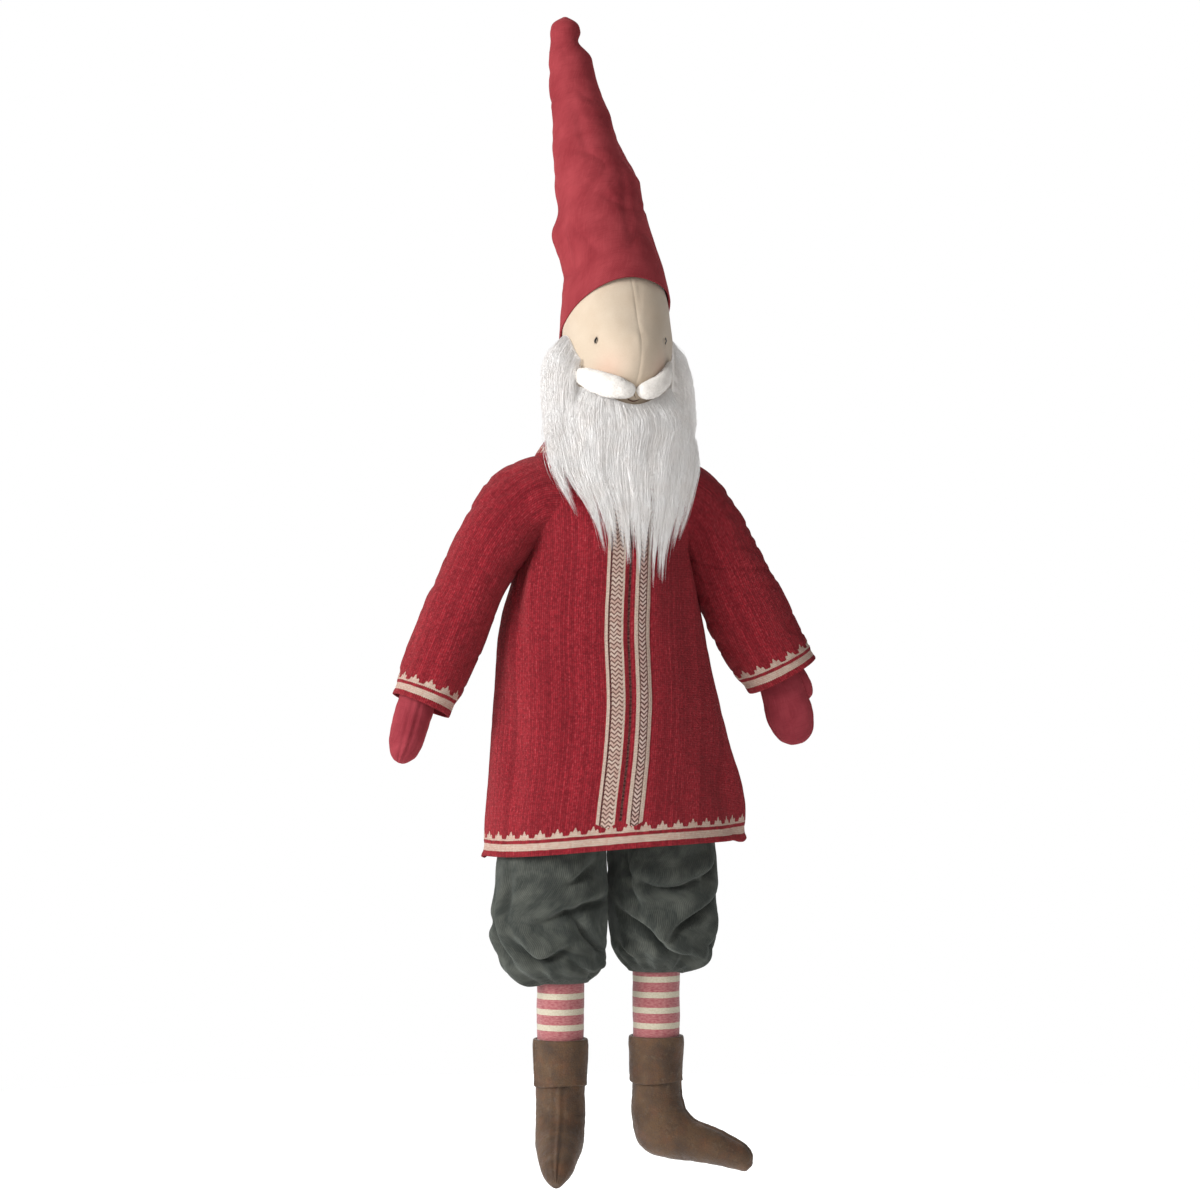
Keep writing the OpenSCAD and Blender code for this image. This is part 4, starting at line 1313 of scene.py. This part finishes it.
def arm(name):
    """The stuffed muslin arm inside the sleeve, and its filling, down into the hand."""
    x, z, radius = along_rows(ARM[name], 60)
    middle = np.stack([SIDES[name] * x, 0 * x, z], -1)
    across = np.cross(heading(middle), -FORWARD)

    def stuffed(inset):
        r = (radius - inset)[:, None]
        return tube(middle, -FORWARD * r, across * r, angles(48))

    p = stuffed(0)
    cover = grid("arm_muslin_" + name, raised(p, 0.4 * ripple(p, 9, SIDES[name])))
    thicken(cover, 0.8)
    dress(cover, "muslin")
    fill = stuffing("arm_filling_" + name, stuffed(1.6)[:, ::2])
    for piece, node in ((cover, "arm_cover_"), (fill, "arm_fill_")):
        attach(piece, "arm_" + name)
        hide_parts(node + name)


# ---- Trousers --------------------------------------------------------------------------------------

LEG_X = 39
LEG_Y = -4
# Height, outward shift, half width, half depth.
TROUSERS = {
    "left": [
        (157.5, 0, 21.8, 21.8), (162.5, 1, 30, 29), (169, 3, 37, 35.5), (181, 4.5, 40.5, 39),
        (203, 4, 42.5, 41), (248, 5, 42.5, 42), (300, 4, 38, 42), (338, 2, 35, 41),
    ],
    "right": [
        (150.5, 0, 21.8, 21.8), (154, 2, 30, 29), (160, 4.5, 37.5, 35), (176, 7, 42, 39), (202, 7.5, 44, 41),
        (248, 7, 42.5, 42), (300, 4, 38, 42), (338, 2, 35, 41),
    ],
}


# The larger folds: lines of angle and height, then depth and width.
FOLDS = {
    "right": [
        ([(64, 216), (8, 212), (-26, 199)], 4.6, 4.5), ([(4, 208), (26, 189), (56, 173)], 6.0, 4.2),
        ([(-54, 184), (-28, 172), (0, 179)], 6.0, 4.4), ([(4, 229), (30, 243)], 3.4, 4.2),
        ([(8, 168), (34, 156), (74, 161)], 4.0, 3.6), ([(-62, 236), (-66, 206)], 2.4, 4.0),
        ([(-96, 222), (-84, 188), (-60, 166)], 4.0, 5.0),
    ],
    "left": [
        ([(-56, 240), (-34, 228), (0, 226), (46, 243)], 5.0, 4.2),
        ([(-60, 256), (-54, 230), (-38, 208)], 4.2, 3.8), ([(60, 218), (12, 200), (-12, 186)], 5.4, 4.4),
        ([(-68, 207), (-34, 194), (-8, 175), (30, 166)], 6.4, 4.4), ([(30, 227), (54, 250)], 4.0, 4.2),
        ([(-72, 176), (-50, 163)], 3.8, 3.4), ([(70, 200), (48, 176)], 4.2, 4.4),
    ],
}
# How far the gathered lower edge hangs lower or higher, by angle.
SAG = {
    "right": [(-180, 0), (-110, -2), (-68, -3), (-20, 1), (20, 3), (60, 7), (110, 3), (180, 0)],
    "left": [(-180, 0), (-100, 9), (-50, 7), (0, 4), (26, 4), (50, 1), (100, 2), (180, 0)],
}


# A place where the gathered cloth bags out: angle, height and how far.
BAG = {"right": (-68, 158, 4.0), "left": (46, 168, 7.0)}
FOLD_SEED = {"right": 4, "left": 13}
LEG_RADIUS = 42.0                   # at which the folds' angles are unrolled


def turned(degrees, middle):
    """Angles as the nearest turn to the middle one."""
    return (degrees - middle + 180) % 360 - 180 + middle


def fold(degrees, z, line):
    """How far each point lies above a fold's line, and the fold's strength there, which fades at its ends."""
    middle = line[len(line) // 2][0]
    path = [(np.radians(turned(q[0], middle)) * LEG_RADIUS, q[1], 0) for q in line]
    path = stitch_path(path, 60)[:, :2]
    way = heading(path)
    arc = np.radians(turned(degrees, middle) + 0 * z) * LEG_RADIUS
    off = np.stack([arc, z], -1)[..., None, :] - path
    near = np.argmin((off**2).sum(-1), axis=-1)
    off = np.take_along_axis(off, near[..., None, None], axis=-2)[..., 0, :]
    along = way[near]
    up = np.stack([-along[..., 1], along[..., 0]], -1)
    up = up * np.where(up[..., 1:] < 0, -1, 1)
    past = np.abs((off * along).sum(-1))
    fade = np.clip(np.sin(np.pi * (near / 59 * 0.86 + 0.07)), 0, 1) ** 0.7 * bell(past, 0, 7)
    return (off * up).sum(-1), fade


def random_folds(seed):
    """Folds for the leg's far side."""
    pick = np.random.default_rng(seed)
    made = []
    for k in range(9):
        middle, height = 128 + k * 13 + pick.normal(0, 4), pick.uniform(172, 262)
        reach, slope = pick.uniform(18, 34), pick.choice([-1, 1]) * pick.uniform(8, 22)
        line = [(middle - reach, height - slope), (middle, height - 4), (middle + reach, height + slope)]
        line = [(turned(degrees, 0), h) for degrees, h in line]
        made.append((line, pick.uniform(2.4, 4.0), pick.uniform(4.2, 5.4)))
    return made


def leg_folds(name, degrees, height):
    """How far the folds push the cloth out, and how far it drops over them."""
    swell, drop = 0 * height, 0 * height
    for line, depth, width in FOLDS[name] + random_folds(FOLD_SEED[name]):
        up, fade = fold(degrees, height, line)
        crease = -bell(up, 0, width)
        lips = 0.75 * bell(up, 1.7 * width, 1.4 * width) + 0.3 * bell(up, -2.3 * width, 1.7 * width)
        swell += 1.5 * depth * fade * (crease + lips)
        drop += 0.8 * depth * fade * bell(up, 1.3 * width, 1.3 * width)
    return swell, drop


def knee_pleats(p, a, above, seed):
    """Small pleats that run up from the elastic."""
    pleat = np.sin(a * 15 + 2.6 * ripple(p, 18, seed)) * 2.4 * np.exp(-above / 14)
    return pleat * np.clip(above / 3, 0, 1) * (0.6 + 0.6 * ripple(p, 26, seed + 9))


def kept_apart(p, side):
    """The two legs touch in places, and stand apart between them."""
    gap = 1.6 + 3.0 * bell(p[..., 2], 246, 15) + 2.4 * bell(p[..., 2], 190, 13)
    p[..., 0] = side * np.maximum(side * p[..., 0], gap)
    return p


def turned_up_hem(p, side, theta):
    """The leg with its lower edge turned up inside to the elastic."""
    hem = []
    for up, radius in ((9, 19.6), (4, 19.4), (0.8, 20.2)):
        x, y = side * LEG_X + radius * np.sin(theta), LEG_Y - radius * np.cos(theta)
        hem.append(np.stack([x, y, p[0, :, 2] + up], -1))
    return np.concatenate([np.array(hem), p])


def leg_surface(name):
    """Points of a trouser leg, gathered below the knee so that it bags over the elastic."""
    side, seed = SIDES[name], float(FOLD_SEED[name])
    table = TROUSERS[name]
    low, high = table[0][0], table[-1][0]
    z = low + (high - low) * np.linspace(0, 1, 170) ** 1.35
    theta = angles(260)
    shift, wide, deep = curve(table, z).T[:, :, None]
    a = theta[None, :]
    height = np.broadcast_to(z[:, None], (170, 260))
    p = np.stack([side * (LEG_X + shift) + wide * np.sin(a), LEG_Y - deep * np.cos(a), height], -1)
    degrees, above = np.degrees(a), height - low
    start = np.clip(above / 14, 0, 1)
    swell, drop = leg_folds(name, degrees, height)
    swell = swell + 1.3 * ripple(p, 30, seed + 6) + 0.5 * ripple(p, 13, seed)
    inner = bell(degrees, -90 * side, 34)
    bag_angle, bag_height, bag = BAG[name]
    amount = swell * start * (1 - 0.7 * inner) + knee_pleats(p, a, above, seed)
    amount = amount + bag * bell(degrees, bag_angle, 13) * bell(height, bag_height, 9)
    p = raised(p, amount)
    sag = level(SAG[name], np.degrees(theta))[None, :]
    p[..., 2] += sag * np.exp(-above / 24) * (1 - np.exp(-above / 5)) - drop * start
    return turned_up_hem(kept_apart(p, side), side, theta)


def trouser_leg(name):
    """A full leg of needlecord, hanging from the seat."""
    obj = grid("trouser_cloth_" + name, leg_surface(name))
    thicken(obj, 1.0)
    dress(obj, "cord")
    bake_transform(obj)
    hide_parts("trouser_leg_" + name)


def trouser_seat():
    """The trousers' top, under the coat."""
    table = [
        (318, 0, -4, 60, 42, 42), (330, 0, -4, 70, 46, 48), (345, 0, -4, 74, 47, 50),
        (362, 0, -4, 75, 47, 50), (388, 0, -4, 76, 50, 52),
    ]
    p = rings(table, np.linspace(318, 388, 40), angles(180))
    obj = grid("trouser_top", raised(p, 1.2 * ripple(stretched(p, 1, 1, 0.4), 16, 3.0)))
    thicken(obj, 1.0)
    dress(obj, "cord")
    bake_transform(obj)
    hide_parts("trouser_seat")


# ---- Stockings and boots ---------------------------------------------------------------------------

BOOT_TOP = 105
TURN_OUT = {"left": 71, "right": -19}


def on_foot(name, p):
    """Points drawn with the toe forward, turned out and set under the leg."""
    a = math.radians(TURN_OUT[name])
    x = p[..., 0] * math.cos(a) - p[..., 1] * math.sin(a)
    y = p[..., 0] * math.sin(a) + p[..., 1] * math.cos(a)
    return np.stack([x + SIDES[name] * LEG_X, y + LEG_Y, p[..., 2]], -1)


def stocking(name):
    """The striped cloth of the leg, sewn into a tube up its back."""
    theta = angles(96)
    z = np.linspace(88, 204, 80)
    table = [
        (88, 0, 0, 17.6, 17.6, 17.6), (112, 0, 0, 18.2, 18.2, 18.2), (150, 0, 0, 18.4, 18.4, 18.4),
        (204, 0, 0, 17.8, 17.8, 17.8),
    ]
    p = rings(table, z, theta) + np.array([SIDES[name] * LEG_X, LEG_Y, 0])
    seed = 5.0 * SIDES[name]
    from_seam = 180 - np.abs(np.degrees(theta))[None, :]
    p = raised(p, 0.45 * ripple(p, 15, seed) + 0.15 * ripple(p, 5, seed) - 0.8 * bell(from_seam, 0, 4))
    start, end, _height = flat_map(p, True)
    # The stripes are counted from the boot's top.
    above_boot = np.repeat((z - BOOT_TOP + 3.6)[:, None], 97, 1) + 100 * STRIPE + 0.5 * SIDES[name]
    obj = grid("stocking_cloth_" + name, p, start=start, end=end, height=above_boot)
    thicken(obj, 0.8)
    dress(obj, "stripes")
    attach(obj, "shin_" + name)
    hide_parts("stocking_" + name)


# Along the boot: forward and height at the heel side, then at the instep side, half width.
BOOT = [
    (-18.8, 104, 18.8, 104, 18.8), (-18.8, 86, 18.8, 86, 18.8), (-18.6, 68, 18.8, 69, 18.8),
    (-18.4, 52, 20.5, 56, 19.3), (-17.8, 38, 23, 48.5, 19.5), (-15.8, 27, 28, 42.5, 19),
    (-11.5, 19.5, 36, 38.3, 18.5), (-4, 14.6, 45, 34, 17.8), (10, 11.4, 54, 29.5, 16.5),
    (30, 8.2, 63, 25, 14.5), (50, 4.8, 70.5, 20.5, 12), (63, 2.2, 75, 14, 8.5),
    (69.5, 0.8, 75.3, 7.5, 4), (72, 2.2, 74.8, 5, 0.8),
]
# Height and radius of the cuff, from inside the shaft's top, over the fold and down to the cut edge.
BOOT_CUFF = [
    (100, 18.1), (104.4, 18.2), (106.0, 19.0), (106.3, 20.0), (105.4, 21.0), (100, 21.3), (88, 20.8),
    (76, 20.5), (72, 20.6), (71.2, 20.2), (71.6, 19.6), (74, 19.4),
]
CUFF_SEAM = {"left": 90, "right": -65}


def boot_surface(inset=0.0):
    """Points of a boot from the toe to the shaft's top, the table's row at each, and the angles round it."""
    heel_y, heel_z, toe_y, toe_z, wide = along_rows(BOOT, 130)
    heel = np.stack([0 * heel_y, -heel_y, heel_z], -1)
    toe = np.stack([0 * toe_y, -toe_y, toe_z], -1)
    reach = (toe - heel) / 2
    span = np.linalg.norm(reach, axis=1, keepdims=True)
    reach = reach * np.clip(1 - inset / span, 0.05, 1)
    across = np.maximum(wide - inset, 0.3)[:, None] * np.array([1.0, 0, 0])
    a = angles(96)
    row = np.linspace(0, len(BOOT) - 1, 130)
    return tube((heel + toe) / 2, across, reach, a)[::-1], row[::-1], a


def boot(name):
    """A soft boot of thin leather in two halves, sewn up the front, over the toe and under the foot."""
    p, row, a = boot_surface()
    seed = 3.0 * SIDES[name]
    around = np.abs(np.degrees(a))[None, :]
    along = row[:, None]
    fade = np.clip((12.6 - along) / 1.5, 0.1, 1)
    seams = 1.0 * bell(around, 0, 3.6) - 0.5 * bell(around, 11, 5) + 0.7 * bell(around, 180, 3.6)
    ankle = bell(along, 4.2, 1.5) * bell(around, 40, 60)
    wrinkle = -1.5 * ankle * np.clip(creases(stretched(p, 0.45, 0.45, 1.5), 17, seed) - 0.35, 0, 1)
    lumps = 0.9 * ripple(p, 20, seed) + 0.35 * ripple(p, 7, seed + 2)
    fine = -0.35 * np.clip(creases(p, 6.5, seed + 4) - 0.5, 0, 1)
    p = raised(p, seams * fade + wrinkle + (lumps + fine) * fade)
    p[..., 2] = np.maximum(p[..., 2], 0.5)
    obj = grid("boot_leather_" + name, on_foot(name, p), caps=(True, False))
    thicken(obj, 1.0)
    dress(obj, "leather")
    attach(obj, "shin_" + name)
    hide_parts("boot_" + name)


def boot_cuff(name):
    """The shaft's top, turned down outside, its two ends meeting at a seam on the outer side."""
    theta = angles(180)
    z, radius = along_rows(BOOT_CUFF, 60)
    row = np.linspace(0, len(BOOT_CUFF) - 1, 60)[:, None]
    away = np.stack([np.sin(theta), -np.cos(theta), 0 * theta], -1)[None]
    p = away * radius[:, None, None] + np.array([0, 0, 1.0]) * z[:, None, None]
    seed = 8.0 + SIDES[name]
    outer = np.clip((row - 3) / 2, 0, 1)
    from_seam = np.abs(np.degrees(theta)[None, :] - CUFF_SEAM[name])
    amount = 0.6 * ripple(p, 14, seed) + 0.2 * ripple(p, 4, seed)
    amount = (amount - 0.9 * bell(from_seam, 0, 2.2) + 0.5 * bell(from_seam, 6, 3)) * outer
    p = p + away * amount[..., None]
    p[..., 2] += 0.9 * np.sin(theta * 2 + seed) * outer * np.clip((row - 6) / 3, 0, 1)
    obj = grid("boot_cuff_leather_" + name, on_foot(name, p[::-1]))
    thicken(obj, 0.7, inwards=False)
    dress(obj, "leather")
    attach(obj, "shin_" + name)
    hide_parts("boot_cuff_" + name)


# ---- Inside pieces, floor, light and camera --------------------------------------------------------

INNER = {
    "fibre": ["body_fill", "seat_fill", "neck"],
    "muslin": ["body_cover"],
    "cord": ["trouser_waist"],
    "elastic": ["waist_elastic"],
}
INNER_PAIRS = {
    "fibre": ["thigh_fill", "shin_fill"],
    "muslin": ["shoulder_joint", "thigh_cover"],
    "elastic": ["knee_elastic"],
}


def build_inner():
    """Materials for the pieces left as they are in the CAD, and the filling of the feet."""
    for material, names in INNER.items():
        pairs = [f"{part}_{side}" for part in INNER_PAIRS.get(material, []) for side in SIDES]
        for name in names + pairs:
            data = nodes[name].data
            data.materials.clear()
            data.materials.append(MATERIALS[material])
    for name in SIDES:
        p = boot_surface(inset=3.4)[0]
        fill = stuffing("foot_filling_" + name, on_foot(name, p[6:-4:2, ::2]))
        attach(fill, "shin_" + name)
        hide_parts("foot_fill_" + name)


def plain(name, colour, glow=0.0):
    s = Shade(name, roughness=0.9, sheen=0.0, specular=0.1)
    s.glow(colour, glow)
    return s.finish(colour)


LAMPS = {
    # Place, size in metres and power in watts.
    "key": ((-2300, -900, 1250), 1.1, 84),
    "fill": ((-300, -2300, 500), 1.8, 11),
    "back": ((300, 1800, 1500), 1.6, 26),
}
LAMPS_AIM = (0, 0, 470)
CAMERA_AIM = (-5.2, 1.6, 446.3)
CAMERA_ANGLE = -17.0                # degrees round the doll, to its right of the front
CAMERA_AWAY = 3.0                   # metres
SEEN_WIDTH = 0.9346                 # of the picture at the doll, in metres
SENSOR = 36


def floor():
    """A pale floor below the held-up doll."""
    bpy.ops.mesh.primitive_circle_add(vertices=96, radius=1.4, fill_type="NGON", location=at(0, 0, -95))
    obj = bpy.context.object
    obj.name = "studio_floor"
    obj.data.materials.append(plain("pale_floor", (0.9, 0.9, 0.9), 0.45))


def world():
    """Soft even light, and pure white where the camera sees the world itself."""
    studio = bpy.data.worlds.new("studio")
    bpy.context.scene.world = studio
    studio.use_nodes = True
    tree = studio.node_tree
    soft = tree.nodes["Background"]
    soft.inputs[0].default_value = (1, 1, 1, 1)
    soft.inputs[1].default_value = 0.3
    seen_white = tree.nodes.new("ShaderNodeBackground")
    seen_white.inputs[0].default_value = (1, 1, 1, 1)
    both = tree.nodes.new("ShaderNodeMixShader")
    tree.links.new(tree.nodes.new("ShaderNodeLightPath").outputs["Is Camera Ray"], both.inputs[0])
    tree.links.new(soft.outputs[0], both.inputs[1])
    tree.links.new(seen_white.outputs[0], both.inputs[2])
    tree.links.new(both.outputs[0], tree.nodes["World Output"].inputs[0])


def facing(obj, place, way):
    """Sets the object at a place, looking along a direction."""
    obj.location = place
    obj.rotation_euler = way.to_track_quat("-Z", "Y").to_euler()


def lamps():
    for name, (place, size, power) in LAMPS.items():
        light = bpy.data.lights.new(name, "AREA")
        light.size, light.energy = size, power
        facing(new_object(name, light), at(*place), at(*LAMPS_AIM) - at(*place))


def camera():
    angle = math.radians(CAMERA_ANGLE)
    away = Vector((math.sin(angle), -math.cos(angle), 0))
    lens = bpy.data.cameras.new("camera")
    lens.sensor_width = SENSOR
    lens.lens = SENSOR * CAMERA_AWAY / SEEN_WIDTH
    obj = new_object("camera", lens)
    facing(obj, at(*CAMERA_AIM) + away * CAMERA_AWAY, -away)
    bpy.context.scene.camera = obj


def build_studio():
    """Floor, soft light from the left of the picture, and the camera."""
    floor()
    world()
    lamps()
    camera()
    bpy.context.scene.view_settings.view_transform = "Standard"


build_head()
build_wool()
coat()
trouser_seat()
for limb in SIDES:
    sleeve(limb)
    arm(limb)
    mitten(limb)
    trouser_leg(limb)
    stocking(limb)
    boot(limb)
    boot_cuff(limb)
build_inner()
build_studio()
